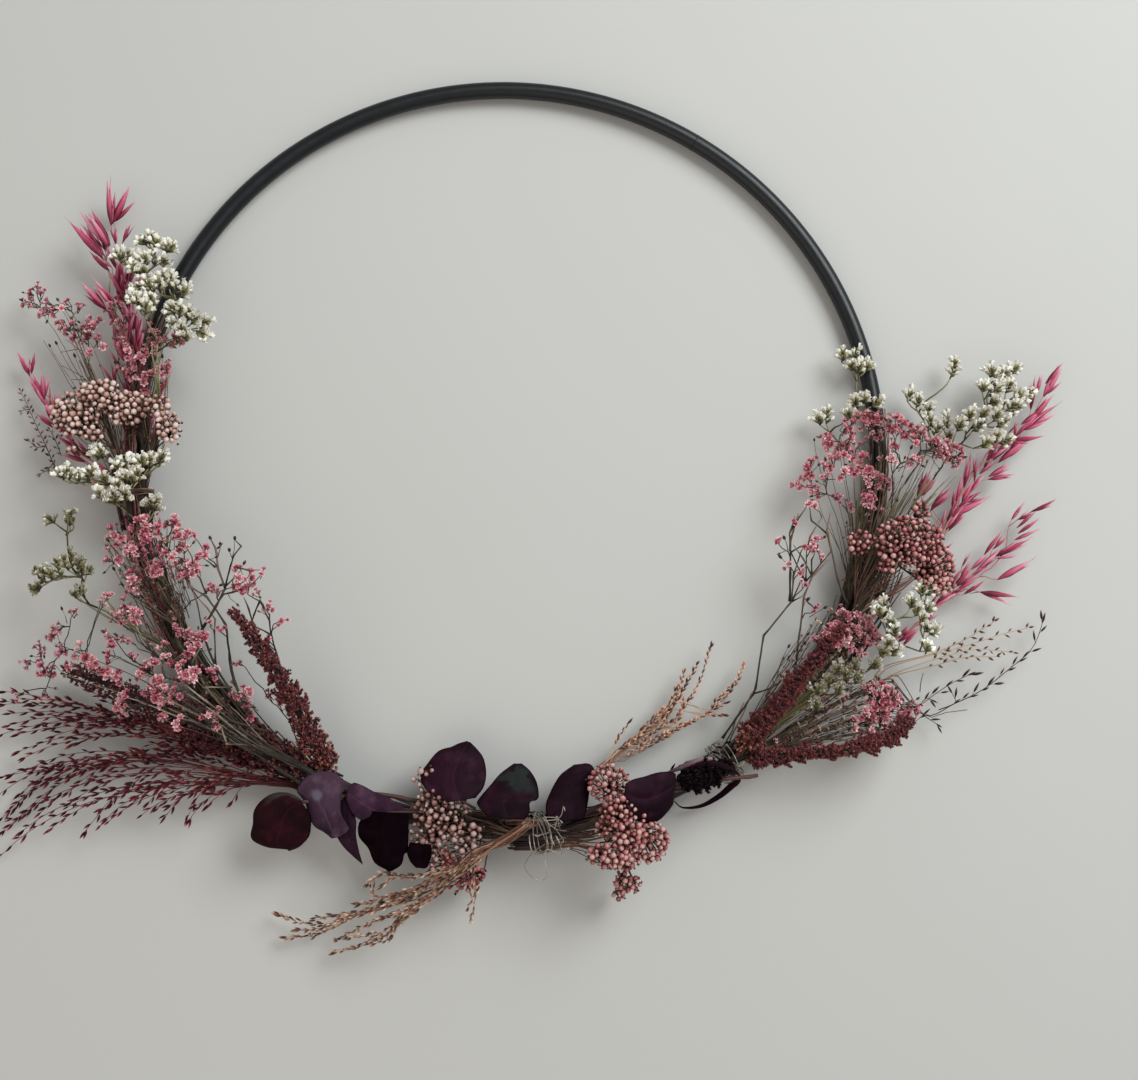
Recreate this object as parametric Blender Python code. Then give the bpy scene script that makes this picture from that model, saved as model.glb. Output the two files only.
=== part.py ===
"""Harvest door wreath: a satin black metal hoop dressed on its lower two thirds with
small bunches of dried flowers, grasses and eucalyptus leaves, each bunch bound to the
hoop with thin wire. It lies flat, face up: X to the right, Y to the top of the wreath,
Z out of its face. Every sprig, leaf, binding and the hoop itself is a piece of its own.
"""

import bisect
import math

import bmesh
import bpy
import numpy as np
from mathutils import Vector

for old in list(bpy.data.objects):
    bpy.data.objects.remove(old, do_unlink=True)

MM = 0.001

# ---------------------------------------------------------------- driving sizes, mm
HOOP_OUTER_D = 300.0  # the usual florist's hoop
TUBE_D = 6.7  # thickness of the hoop's rod
HOOP_SEGMENTS = 72
TUBE_SIDES = 8  # one flat runs along the back, one along the face
WIRE_D = 0.7  # florist's binding wire
WIRE_GAP = 0.4  # clear space between a winding and what it holds
WIRE_PITCH = 1.7
WIRE_CORNERS = 12
HOOP_LIFT = WIRE_D + WIRE_GAP + 0.1  # the windings pass under the hoop
STACK_GAP = 0.6  # clear space between a sprig and the one it lies on
TAIL = 13.0  # how far a stem runs on past its binding to its cut end
LEAVE = 6.0  # how far past its binding a stem still follows the hoop
STEM_R = 0.9
RING = 8  # corners round each sprig's section

R_MID = (HOOP_OUTER_D - TUBE_D) / 2
HOOP_Z = HOOP_LIFT + TUBE_D / 2
HOOP_TOP = HOOP_LIFT + TUBE_D

# bindings, by the angle on the hoop, anticlockwise from +X, and their turns
TIES = {
    "left_top": (188.0, 3),
    "left_middle": (213.0, 3),
    "left_low": (239.5, 3),
    "centre": (274.0, 4),
    "right_low": (304.0, 4),
    "right_top": (333.0, 3),
}

# plant kinds: body colour, roughness, how the head swells from bare stem to tip
# (fraction of the length, fraction of the half width, fraction of the half height)
KINDS = {
    "oat": ((0.52, 0.09, 0.19), 0.6, [(0, 0, 0), (0.4, 0, 0), (0.52, 0.7, 0.8), (0.66, 1, 1), (0.8, 0.9, 1), (0.92, 0.6, 0.7), (1, 0.12, 0.2)]),
    "gyp": ((0.48, 0.13, 0.18), 0.8, [(0, 0, 0), (0.3, 0.05, 0), (0.46, 0.5, 0.6), (0.64, 0.95, 1), (0.82, 1, 1), (0.94, 0.75, 0.8), (1, 0.3, 0.4)]),
    "statice": ((0.72, 0.71, 0.62), 0.8, [(0, 0, 0), (0.34, 0.08, 0), (0.5, 0.6, 0.7), (0.66, 1, 1), (0.84, 0.95, 1), (0.95, 0.7, 0.8), (1, 0.4, 0.5)]),
    "rice": ((0.60, 0.32, 0.26), 0.6, [(0, 0, 0), (0.3, 0.1, 0.1), (0.48, 0.7, 0.8), (0.68, 1, 1), (0.88, 0.95, 1), (0.97, 0.6, 0.7), (1, 0.4, 0.5)]),
    "amaranth": ((0.16, 0.03, 0.03), 0.85, [(0, 0, 0), (0.22, 0, 0), (0.34, 0.8, 0.8), (0.55, 1, 1), (0.8, 0.9, 0.95), (0.94, 0.7, 0.7), (1, 0.3, 0.3)]),
    "celosia": ((0.05, 0.01, 0.02), 0.9, [(0, 0, 0), (0.4, 0, 0), (0.52, 0.7, 0.8), (0.7, 1, 1), (0.88, 0.9, 0.9), (1, 0.3, 0.3)]),
    "panic": ((0.20, 0.05, 0.05), 0.7, [(0, 0, 0), (0.3, 0.3, 0.3), (0.5, 0.8, 0.8), (0.7, 1, 1), (0.88, 0.8, 0.8), (1, 0.15, 0.3)]),
    "copper": ((0.48, 0.26, 0.14), 0.4, [(0, 0, 0), (0.25, 0.3, 0.4), (0.45, 0.7, 0.8), (0.7, 1, 1), (0.88, 0.8, 0.8), (1, 0.15, 0.3)]),
    "twig": ((0.10, 0.05, 0.05), 0.7, [(0, 0, 0), (0.25, 0, 0), (0.5, 0, 0), (0.75, 0, 0), (1, 0, 0)]),
    "leaf": ((0.06, 0.015, 0.04), 0.6, [(0, 0, 0), (0.12, 0.06, 0), (0.24, 0.6, 0), (0.42, 0.95, 0), (0.6, 1, 0), (0.78, 0.85, 0), (0.92, 0.5, 0), (1, 0.1, 0)]),
}

# the sprigs, in the order a florist lays them: name, kind, the binding that holds it,
# how far off the hoop's centre line it passes there (+ outwards), the route beyond
# (x, y from the hoop's centre), the head's half width and half height, the tip's height
SPRIGS = [
    # left arm, first bunch: pink oats at the back, gypsophila, statice, rice flower
    ("oat_left_tall", "oat", "left_top", -3, [(-142, 9), (-149, 56), (-155, 106)], 8, 3, 9),
    ("oat_left_second", "oat", "left_top", -1, [(-147, 24), (-156, 59), (-170, 87)], 7, 3, 9),
    ("oat_left_outer", "oat", "left_top", 3, [(-167, -3), (-178, 15), (-190, 34)], 7, 3, 8),
    ("gypsophila_left_outer", "gyp", "left_top", 1, [(-154, 5), (-168, 38), (-183, 60)], 11, 4, 10),
    ("gypsophila_left_inner", "gyp", "left_top", -5, [(-140, 5), (-143, 28), (-142, 50)], 13, 4, 12),
    ("statice_left_top", "statice", "left_top", -6.5, [(-134, 4), (-132, 44), (-136, 81)], 18, 4, 14),
    ("rice_flower_left_outer", "rice", "left_top", 5, [(-149, -5), (-155, 10), (-162, 18)], 17, 4, 20),
    ("rice_flower_left_inner", "rice", "left_top", -4, [(-137, -9), (-133, 5), (-131, 15)], 8, 4, 22),
    # left arm, second bunch
    ("statice_left_middle", "statice", "left_middle", -1, [(-138, -44), (-147, -25), (-152, -9)], 20, 4, 24),
    ("gypsophila_left_middle", "gyp", "left_middle", 1, [(-126, -67), (-135, -49), (-139, -31)], 16, 5, 18),
    ("statice_left_low", "statice", "left_middle", 5, [(-144, -68), (-162, -52), (-177, -43)], 13, 4, 10),
    # left arm, third bunch: amaranth spikes and the fan of panic grass
    ("panic_grass_left_upper", "panic", "left_low", 5, [(-112, -116), (-152, -105), (-192, -101)], 13, 3, 6),
    ("panic_grass_left_lower", "panic", "left_low", 6, [(-112, -126), (-155, -131), (-192, -137)], 9, 3, 4),
    ("panic_grass_left_bottom", "panic", "left_low", 7, [(-112, -130), (-155, -144), (-191, -155)], 9, 3, 4),
    ("gypsophila_left_bare", "gyp", "left_low", -3, [(-100, -94), (-110, -66), (-111, -40)], 14, 4, 10),
    ("gypsophila_left_slim", "gyp", "left_low", -5, [(-90, -97), (-95, -75), (-97, -51)], 9, 4, 12),
    ("amaranth_left_inner", "amaranth", "left_low", -2, [(-79, -109), (-88, -94), (-106, -66)], 4.5, 4, 10),
    ("amaranth_left_outer", "amaranth", "left_low", 1, [(-106, -109), (-136, -97), (-172, -87)], 4.5, 4, 10),
    ("gypsophila_left_low_outer", "gyp", "left_low", 4, [(-110, -108), (-146, -90), (-178, -79)], 15, 5, 12),
    ("gypsophila_left_low_inner", "gyp", "left_low", -1, [(-95, -114), (-114, -99), (-135, -84)], 14, 5, 18),
    # right arm, top bunch
    ("oat_right_upper", "oat", "right_top", 4, [(161, -47), (186, -7), (219, 35)], 8, 3, 9),
    ("oat_right_lower", "oat", "right_top", 6, [(150, -73), (182, -48), (216, -19)], 8, 3, 8),
    ("statice_right_inner", "statice", "right_top", -4, [(137, -27), (136, 9), (134, 41)], 7, 3, 10),
    ("statice_right_top", "statice", "right_top", 2, [(151, -24), (166, 5), (174, 37)], 11, 4, 10),
    ("statice_right_outer", "statice", "right_top", 3, [(155, -28), (182, 4), (202, 30)], 13, 4, 12),
    ("gypsophila_right_inner", "gyp", "right_top", -2, [(134, -36), (131, -12), (128, 12)], 16, 4, 14),
    ("gypsophila_right_outer", "gyp", "right_top", 1, [(141, -36), (152, -12), (160, 12)], 13, 4, 16),
    ("rice_flower_right", "rice", "right_top", 0, [(135, -55), (145, -40), (154, -29)], 20, 5, 26),
    # right arm, low bunch
    ("gypsophila_right_tall", "gyp", "right_low", -5, [(94, -93), (110, -74), (111, -11)], 13, 4, 10),
    ("dark_grass_right", "panic", "right_low", 3, [(129, -98), (171, -82), (210, -68)], 11, 2.5, 8),
    ("gypsophila_right_middle", "gyp", "right_low", -3, [(105, -94), (119, -78), (132, -64)], 11, 4, 16),
    ("gypsophila_right_low", "gyp", "right_low", 2, [(110, -111), (133, -101), (156, -98)], 12, 4, 14),
    ("statice_right_low", "statice", "right_low", 0, [(109, -99), (128, -82), (155, -59)], 13, 4, 18),
    ("amaranth_right_outer", "amaranth", "right_low", 4, [(106, -117), (130, -114), (155, -105)], 5, 4, 10),
    ("amaranth_right_inner", "amaranth", "right_low", -1, [(101, -101), (114, -86), (135, -65)], 5, 4, 14),
    # bottom of the hoop: two eucalyptus twigs, copper grass and rice flower, bound last
    ("eucalyptus_twig_left", "twig", "centre", -2, [(-16, -141), (-50, -133), (-80, -135)], 1, 1, 9),
    ("eucalyptus_twig_right", "twig", "centre", 0, [(33, -138), (62, -130), (93, -126)], 1, 1, 9),
    ("copper_grass_right", "copper", "centre", -3, [(35, -123), (58, -104), (79, -79)], 9.5, 2.5, 8),
    ("celosia_right", "celosia", "centre", 2, [(37, -141), (56, -133), (77, -125)], 6, 4, 14),
    ("eucalyptus_leaf_a", "leaf", None, 0, [(-76, -136), (-80, -139), (-97, -146)], 10.5, 0.6, 6),
    ("eucalyptus_leaf_b", "leaf", None, 0, [(-60, -134), (-65, -133), (-79, -131)], 14, 0.6, 12),
    ("eucalyptus_leaf_d", "leaf", None, 0, [(-37, -136), (-42, -135), (-60, -137)], 9, 0.6, 15),
    ("eucalyptus_leaf_e", "leaf", None, 0, [(-35, -139), (-40, -143), (-52, -159)], 13, 0.6, 8),
    ("eucalyptus_leaf_g", "leaf", None, 0, [(-14, -138), (-18, -133), (-28, -113)], 12.5, 0.6, 12),
    ("eucalyptus_leaf_h", "leaf", None, 0, [(-5, -143), (-4, -139), (2, -122)], 12, 0.6, 12),
    ("eucalyptus_leaf_i", "leaf", None, 0, [(19, -143), (20, -140), (26, -123)], 9.5, 0.6, 10),
    ("eucalyptus_leaf_j", "leaf", None, 0, [(43, -139), (45, -140), (62, -137)], 9.5, 0.6, 10),
    ("eucalyptus_leaf_k", "leaf", None, 0, [(68, -127), (72, -132), (84, -132)], 5, 1.5, 8),
    ("rice_flower_centre_left", "rice", "centre", 2, [(-9, -146), (-22, -145), (-33, -136)], 14, 4, 18),
    ("rice_flower_centre_right", "rice", "centre", 4, [(29, -148), (41, -142), (38, -129)], 12, 4, 18),
    ("rice_flower_centre_low", "rice", "centre", 6, [(27, -151), (43, -154), (41, -170)], 13, 4, 10),
    ("copper_grass_left_upper", "copper", "centre", 5, [(-23, -157), (-53, -171), (-88, -184)], 6, 2.5, 6),
    ("copper_grass_left_lower", "copper", "centre", 7, [(-23, -160), (-44, -177), (-66, -194)], 6, 2.5, 5),
]


# ---------------------------------------------------------------- helpers
def polar(radius, degrees):
    a = math.radians(degrees)
    return Vector((radius * math.cos(a), radius * math.sin(a)))


def smooth_route(points, step=0.5):
    """A Catmull-Rom curve through the points, read every half millimetre."""
    pts = [points[0] * 2 - points[1]] + points + [points[-1] * 2 - points[-2]]
    out = []
    for i in range(1, len(pts) - 2):
        p0, p1, p2, p3 = pts[i - 1 : i + 3]
        n = max(2, int((p2 - p1).length / step))
        for k in range(n):
            t = k / n
            out.append(
                0.5
                * (
                    2 * p1
                    + (p2 - p0) * t
                    + (2 * p0 - 5 * p1 + 4 * p2 - p3) * t * t
                    + (3 * p1 - 3 * p2 + p3 - p0) * t**3
                )
            )
    out.append(points[-1].copy())
    return out


def along(route):
    lengths = [0.0]
    for a, b in zip(route, route[1:]):
        lengths.append(lengths[-1] + (b - a).length)
    return lengths


def at(route, lengths, s):
    s = min(max(s, 0.0), lengths[-1])
    i = min(max(bisect.bisect_right(lengths, s) - 1, 0), len(route) - 2)
    t = (s - lengths[i]) / (lengths[i + 1] - lengths[i])
    return route[i].lerp(route[i + 1], t)


def material(name, colour, rough, metallic=0.0):
    m = bpy.data.materials.new(name)
    m.use_nodes = True
    shader = m.node_tree.nodes["Principled BSDF"]
    shader.inputs["Base Color"].default_value = (*colour, 1)
    shader.inputs["Roughness"].default_value = rough
    shader.inputs["Metallic"].default_value = metallic
    m.diffuse_color = (*colour, 1)
    return m


def loft(name, rings, closed, mat):
    """A closed body through rings of points in mm: a torus if closed, else with end caps."""
    bm = bmesh.new()
    made = [[bm.verts.new(Vector(p) * MM) for p in ring] for ring in rings]
    pairs = list(zip(made, made[1:] + made[:1])) if closed else list(zip(made, made[1:]))
    for a, b in pairs:
        n = len(a)
        for k in range(n):
            bm.faces.new((a[k], a[(k + 1) % n], b[(k + 1) % n], b[k]))
    if not closed:
        bm.faces.new(list(reversed(made[0])))
        bm.faces.new(made[-1])
    bmesh.ops.recalc_face_normals(bm, faces=bm.faces)
    mesh = bpy.data.meshes.new(name)
    bm.to_mesh(mesh)
    bm.free()
    mesh.materials.append(mat)
    mesh.shade_smooth()
    obj = bpy.data.objects.new(name, mesh)
    bpy.context.scene.collection.objects.link(obj)
    return obj


# ---------------------------------------------------------------- how high things lie
CELL = 0.5
X0, Y0, NX, NY = -235.0, -225.0, 960, 760
height = np.zeros((NX, NY))


def cells(x, y):
    return (
        np.clip(((x - X0) / CELL).astype(int), 1, NX - 2),
        np.clip(((y - Y0) / CELL).astype(int), 1, NY - 2),
    )


def highest(x, y):
    i, j = cells(x, y)
    top = height[i, j]
    for a in (-1, 0, 1):
        for b in (-1, 0, 1):
            top = np.maximum(top, height[i + a, j + b])
    return top


def raise_to(x, y, z):
    i, j = cells(x, y)
    np.maximum.at(height, (i, j), z)


gx, gy = np.meshgrid(X0 + (np.arange(NX) + 0.5) * CELL, Y0 + (np.arange(NY) + 0.5) * CELL, indexing="ij")
gr = np.hypot(gx, gy)
height[np.abs(gr - R_MID) < TUBE_D / 2 + 0.4] = HOOP_TOP

laid = []  # each laid body's outline as points (x, y, z), for the bindings


def patch(a, b, za, zb, ha, hb, na, nb, wa, wb):
    """Points spread over one span of a sprig: where, how high its middle, how far its skin."""
    n = max(3, int((b - a).length / 0.4) + 1)
    m = max(5, int(2 * (max(wa, wb) + 0.5) / 0.4) + 1)
    u = np.linspace(0, 1, n)[:, None]
    edge = 1 + 0.5 / max(min(wa, wb), 0.5)
    v = np.linspace(-edge, edge, m)[None, :]
    left = np.array([a.x, a.y]) + np.array([na.x, na.y]) * wa * v[..., None]
    right = np.array([b.x, b.y]) + np.array([nb.x, nb.y]) * wb * v[..., None]
    p = left * (1 - u[..., None]) + right * u[..., None]
    skin = (ha * (1 - u) + hb * u) * np.sqrt(np.clip(1 - v * v, 0, 1))
    return p[..., 0], p[..., 1], u, skin


def lay(name, kind, tie, off, via, half_w, half_h, tip_z):
    colour, rough, profile = KINDS[kind]
    route = [Vector(p) for p in via]
    if tie:
        angle = TIES[tie][0]
        hold = polar(R_MID + off, angle)
        tail = [polar(R_MID + off, angle + s * math.degrees(TAIL / R_MID)) for s in (1, -1)]
        tail.sort(key=lambda p: (p - route[0]).length)
        route = [tail[1], hold, hold.lerp(tail[0], LEAVE / TAIL)] + route
    curve = smooth_route(route)
    lengths = along(curve)
    total = lengths[-1]
    thin = 0.5 if kind == "leaf" else STEM_R
    stations = []
    first = TAIL if tie else 0.0
    marks = [(0.0, 0, 0)] if tie else []
    marks += [(first + f * (total - first), w, h) for f, w, h in profile]
    for s, w, h in marks:
        stations.append(
            [
                at(curve, lengths, s),
                max(half_w * w, thin if w < 1 else 0),
                max(half_h * (h if kind != "leaf" else 1), min(thin, half_h) if h < 1 else 0),
                s,
            ]
        )
    centres = [st[0] for st in stations]
    normals = []
    for i in range(len(centres)):
        a, b = centres[max(i - 1, 0)], centres[min(i + 1, len(centres) - 1)]
        d = (b - a).normalized()
        normals.append(Vector((-d.y, d.x)))
    # each station wants to lie here, and is raised only as far as what is under it asks
    base = HOOP_TOP + STACK_GAP + STEM_R + 0.1
    z = []
    for c, w, h, s in stations:
        t = 0 if s <= first else (s - first) / (total - first)
        start = base if tie else tip_z + 4
        z.append(max(start * (1 - t) + tip_z * t, h + 0.3))
    spans = []
    for i in range(len(stations) - 1):
        (a, wa, ha, _), (b, wb, hb, _) = stations[i], stations[i + 1]
        x, y, u, skin = patch(a, b, 0, 0, ha, hb, normals[i], normals[i + 1], wa, wb)
        spans.append((x, y, u, skin, highest(x, y)))
    for _ in range(60):
        worst = 0
        for i, (x, y, u, skin, under) in enumerate(spans):
            short = under + STACK_GAP - (z[i] * (1 - u) + z[i + 1] * u - skin)
            k = np.unravel_index(np.argmax(short), short.shape)
            d = float(short[k])
            if d > 1e-4:
                t = float(u[k[0], 0])
                q = (1 - t) ** 2 + t**2
                z[i] += d * (1 - t) / q
                z[i + 1] += d * t / q
                worst = max(worst, d)
        for i in range(1, len(z) - 1):
            z[i] = max(z[i], (z[i - 1] + z[i + 1]) / 2 - 0.8)
        if worst < 1e-3:
            break
    for i, (x, y, u, skin, _) in enumerate(spans):
        raise_to(x, y, z[i] * (1 - u) + z[i + 1] * u + skin)
    rings = []
    for (c, w, h, _), n, zc in zip(stations, normals, z):
        rings.append(
            [
                (
                    c.x + n.x * w * math.cos(2 * math.pi * k / RING),
                    c.y + n.y * w * math.cos(2 * math.pi * k / RING),
                    zc + h * math.sin(2 * math.pi * k / RING),
                )
                for k in range(RING)
            ]
        )
    for a, b in zip(rings, rings[1:]):
        steps = max(2, int((Vector(a[0]) - Vector(b[0])).length / 0.8))
        for k in range(steps + 1):
            for p, q in zip(a, b):
                laid.append(tuple(Vector(p).lerp(Vector(q), k / steps)))
    loft(name, rings, False, material(name, colour, rough))


def bind(tie):
    """A winding of wire round the hoop and everything that lies on it here."""
    angle, turns = TIES[tie]
    reach = math.degrees((turns * WIRE_PITCH / 2 + 2.0) / R_MID)
    pts = []
    for k in range(24):
        a = 2 * math.pi * k / 24
        pts.append((R_MID + (TUBE_D / 2) * math.cos(a) * 1.04, HOOP_Z + (TUBE_D / 2) * math.sin(a) * 1.04))
    for x, y, z in laid:
        r = math.hypot(x, y)
        here = (math.degrees(math.atan2(y, x)) - angle + 180) % 360 - 180
        if abs(here) < reach and abs(r - R_MID) < 17:
            pts.append((r, z))
    pts = np.array(pts)
    off = WIRE_GAP + WIRE_D / 2
    lines = []
    for k in range(WIRE_CORNERS):
        a = 2 * math.pi * (k + 0.5) / WIRE_CORNERS
        n = np.array([math.cos(a), math.sin(a)])
        lines.append((n, float((pts @ n).max()) + off))
    corners = []
    for k in range(WIRE_CORNERS):
        (n1, d1), (n2, d2) = lines[k], lines[(k + 1) % WIRE_CORNERS]
        corners.append(np.linalg.solve(np.array([n1, n2]), np.array([d1, d2])))
    # the table lies just under the hoop's windings
    floor = WIRE_D / 2 + 0.02
    count = turns * WIRE_CORNERS
    path = []
    for k in range(count + 1):
        r, z = corners[(k + 9) % WIRE_CORNERS]
        shift = (k / WIRE_CORNERS - turns / 2) * WIRE_PITCH
        d = polar(r, angle + math.degrees(shift / R_MID))
        path.append((d.x, d.y, max(z, floor)))
    curve = bpy.data.curves.new("binding_wire_" + tie, "CURVE")
    curve.dimensions = "3D"
    curve.bevel_depth = WIRE_D / 2 * MM
    curve.bevel_resolution = 1
    curve.use_fill_caps = True
    spline = curve.splines.new("POLY")
    spline.points.add(len(path) - 1)
    for p, co in zip(spline.points, path):
        p.co = (co[0] * MM, co[1] * MM, co[2] * MM, 1)
    obj = bpy.data.objects.new("binding_wire_" + tie, curve)
    curve.materials.append(material("wire_" + tie, (0.42, 0.36, 0.28), 0.35, 1.0))
    bpy.context.scene.collection.objects.link(obj)
    for a, b in zip(path, path[1:]):
        steps = max(2, int(math.dist(a, b) / 0.4))
        t = np.linspace(0, 1, steps + 1)
        for side in (-0.4, 0, 0.4):
            for side2 in (-0.4, 0, 0.4):
                raise_to(
                    a[0] + (b[0] - a[0]) * t + side,
                    a[1] + (b[1] - a[1]) * t + side2,
                    a[2] + (b[2] - a[2]) * t + WIRE_D / 2,
                )


# ---------------------------------------------------------------- the hoop
circum = TUBE_D / 2 / math.cos(math.pi / TUBE_SIDES)  # flats on the tube's diameter
rings = []
for i in range(HOOP_SEGMENTS):
    d = polar(1.0, 360 * i / HOOP_SEGMENTS)
    ring = []
    for k in range(TUBE_SIDES):
        a = 2 * math.pi * (k + 0.5) / TUBE_SIDES
        r = R_MID + circum * math.cos(a)
        ring.append((d.x * r, d.y * r, HOOP_Z + circum * math.sin(a)))
    rings.append(ring)
loft("hoop", rings, True, material("hoop", (0.008, 0.009, 0.010), 0.38))

# ---------------------------------------------------------------- bunches, then bindings
held = ["left_top", "left_middle", "left_low", "right_top", "right_low", "centre"]
for tie in held:
    members = [s for s in SPRIGS if s[2] == tie]
    for s in members:
        lay(*s)
    bind(tie)
for s in SPRIGS:
    if s[2] is None:
        lay(*s)

# ---------------------------------------------------------------- centre the whole on its base
bpy.context.view_layer.update()
low, high = Vector((9, 9, 9)), Vector((-9, -9, -9))
for o in bpy.context.scene.objects:
    ev = o.evaluated_get(bpy.context.evaluated_depsgraph_get())
    me = ev.to_mesh()
    for v in me.vertices:
        p = o.matrix_world @ v.co
        low = Vector(map(min, low, p))
        high = Vector(map(max, high, p))
    ev.to_mesh_clear()
shift = Vector((-(low.x + high.x) / 2, -(low.y + high.y) / 2, -low.z))
for o in bpy.context.scene.objects:
    o.location = shift
print("size mm", (high - low) / MM, "hoop centre", shift / MM)
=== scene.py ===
"""Looks of the harvest door wreath: each bound sprig, leaf, winding and the hoop gets its
detailed shape and finish, laid on the solid of the same name. Lengths are in millimetres
from the hoop's centre until they are written to a mesh."""

import math
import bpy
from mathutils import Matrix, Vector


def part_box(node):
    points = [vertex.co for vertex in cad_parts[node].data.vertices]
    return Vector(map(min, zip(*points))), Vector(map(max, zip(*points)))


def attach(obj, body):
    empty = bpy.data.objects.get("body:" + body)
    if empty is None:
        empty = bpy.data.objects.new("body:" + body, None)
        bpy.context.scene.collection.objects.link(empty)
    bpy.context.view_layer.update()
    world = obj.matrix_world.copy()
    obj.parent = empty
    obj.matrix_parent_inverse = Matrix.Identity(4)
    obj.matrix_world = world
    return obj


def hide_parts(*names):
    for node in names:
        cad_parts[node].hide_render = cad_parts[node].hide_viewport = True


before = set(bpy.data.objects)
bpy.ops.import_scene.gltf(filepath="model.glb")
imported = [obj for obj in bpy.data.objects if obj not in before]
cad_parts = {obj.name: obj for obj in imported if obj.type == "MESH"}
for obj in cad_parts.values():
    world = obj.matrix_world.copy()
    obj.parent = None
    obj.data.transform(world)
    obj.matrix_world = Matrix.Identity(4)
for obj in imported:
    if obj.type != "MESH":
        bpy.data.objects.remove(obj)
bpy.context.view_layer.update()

import zlib

import bpy
import numpy as np
from mathutils import Matrix, Vector
from mathutils.bvhtree import BVHTree

low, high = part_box("hoop")
CX, CY = (low.x + high.x) * 500, (low.y + high.y) * 500
CENTRE = np.array([CX, CY, 0.0])

R_MID = 146.65
HOOP_Z = 4.53
TUBE_R = 3.35
TAIL = 13.0
LEAVE = 6.0
# bindings, by the angle on the hoop, anticlockwise from +X, and their turns
TIES = {
    "left_top": (188.0, 3),
    "left_middle": (213.0, 3),
    "left_low": (239.5, 3),
    "centre": (274.0, 4),
    "right_low": (304.0, 4),
    "right_top": (333.0, 3),
}


# how each kind of head swells: fraction of the length, of the half width, of the half height
PROFILES = {
    "oat": [(0, 0, 0), (0.4, 0, 0), (0.52, 0.7, 0.8), (0.66, 1, 1), (0.8, 0.9, 1), (0.92, 0.6, 0.7), (1, 0.12, 0.2)],
    "gyp": [(0, 0, 0), (0.3, 0.05, 0), (0.46, 0.5, 0.6), (0.64, 0.95, 1), (0.82, 1, 1), (0.94, 0.75, 0.8), (1, 0.3, 0.4)],
    "statice": [(0, 0, 0), (0.34, 0.08, 0), (0.5, 0.6, 0.7), (0.66, 1, 1), (0.84, 0.95, 1), (0.95, 0.7, 0.8), (1, 0.4, 0.5)],
    "rice": [(0, 0, 0), (0.3, 0.1, 0.1), (0.48, 0.7, 0.8), (0.68, 1, 1), (0.88, 0.95, 1), (0.97, 0.6, 0.7), (1, 0.4, 0.5)],
    "amaranth": [(0, 0, 0), (0.22, 0, 0), (0.34, 0.8, 0.8), (0.55, 1, 1), (0.8, 0.9, 0.95), (0.94, 0.7, 0.7), (1, 0.3, 0.3)],
    "celosia": [(0, 0, 0), (0.4, 0, 0), (0.52, 0.7, 0.8), (0.7, 1, 1), (0.88, 0.9, 0.9), (1, 0.3, 0.3)],
    "panic": [(0, 0, 0), (0.3, 0.3, 0.3), (0.5, 0.8, 0.8), (0.7, 1, 1), (0.88, 0.8, 0.8), (1, 0.15, 0.3)],
    "copper": [(0, 0, 0), (0.25, 0.3, 0.4), (0.45, 0.7, 0.8), (0.7, 1, 1), (0.88, 0.8, 0.8), (1, 0.15, 0.3)],
    "twig": [(0, 0, 0), (0.25, 0, 0), (0.5, 0, 0), (0.75, 0, 0), (1, 0, 0)],
    "leaf": [(0, 0, 0), (0.12, 0.06, 0), (0.24, 0.6, 0), (0.42, 0.95, 0), (0.6, 1, 0), (0.78, 0.85, 0), (0.92, 0.5, 0), (1, 0.1, 0)],
}

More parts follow.
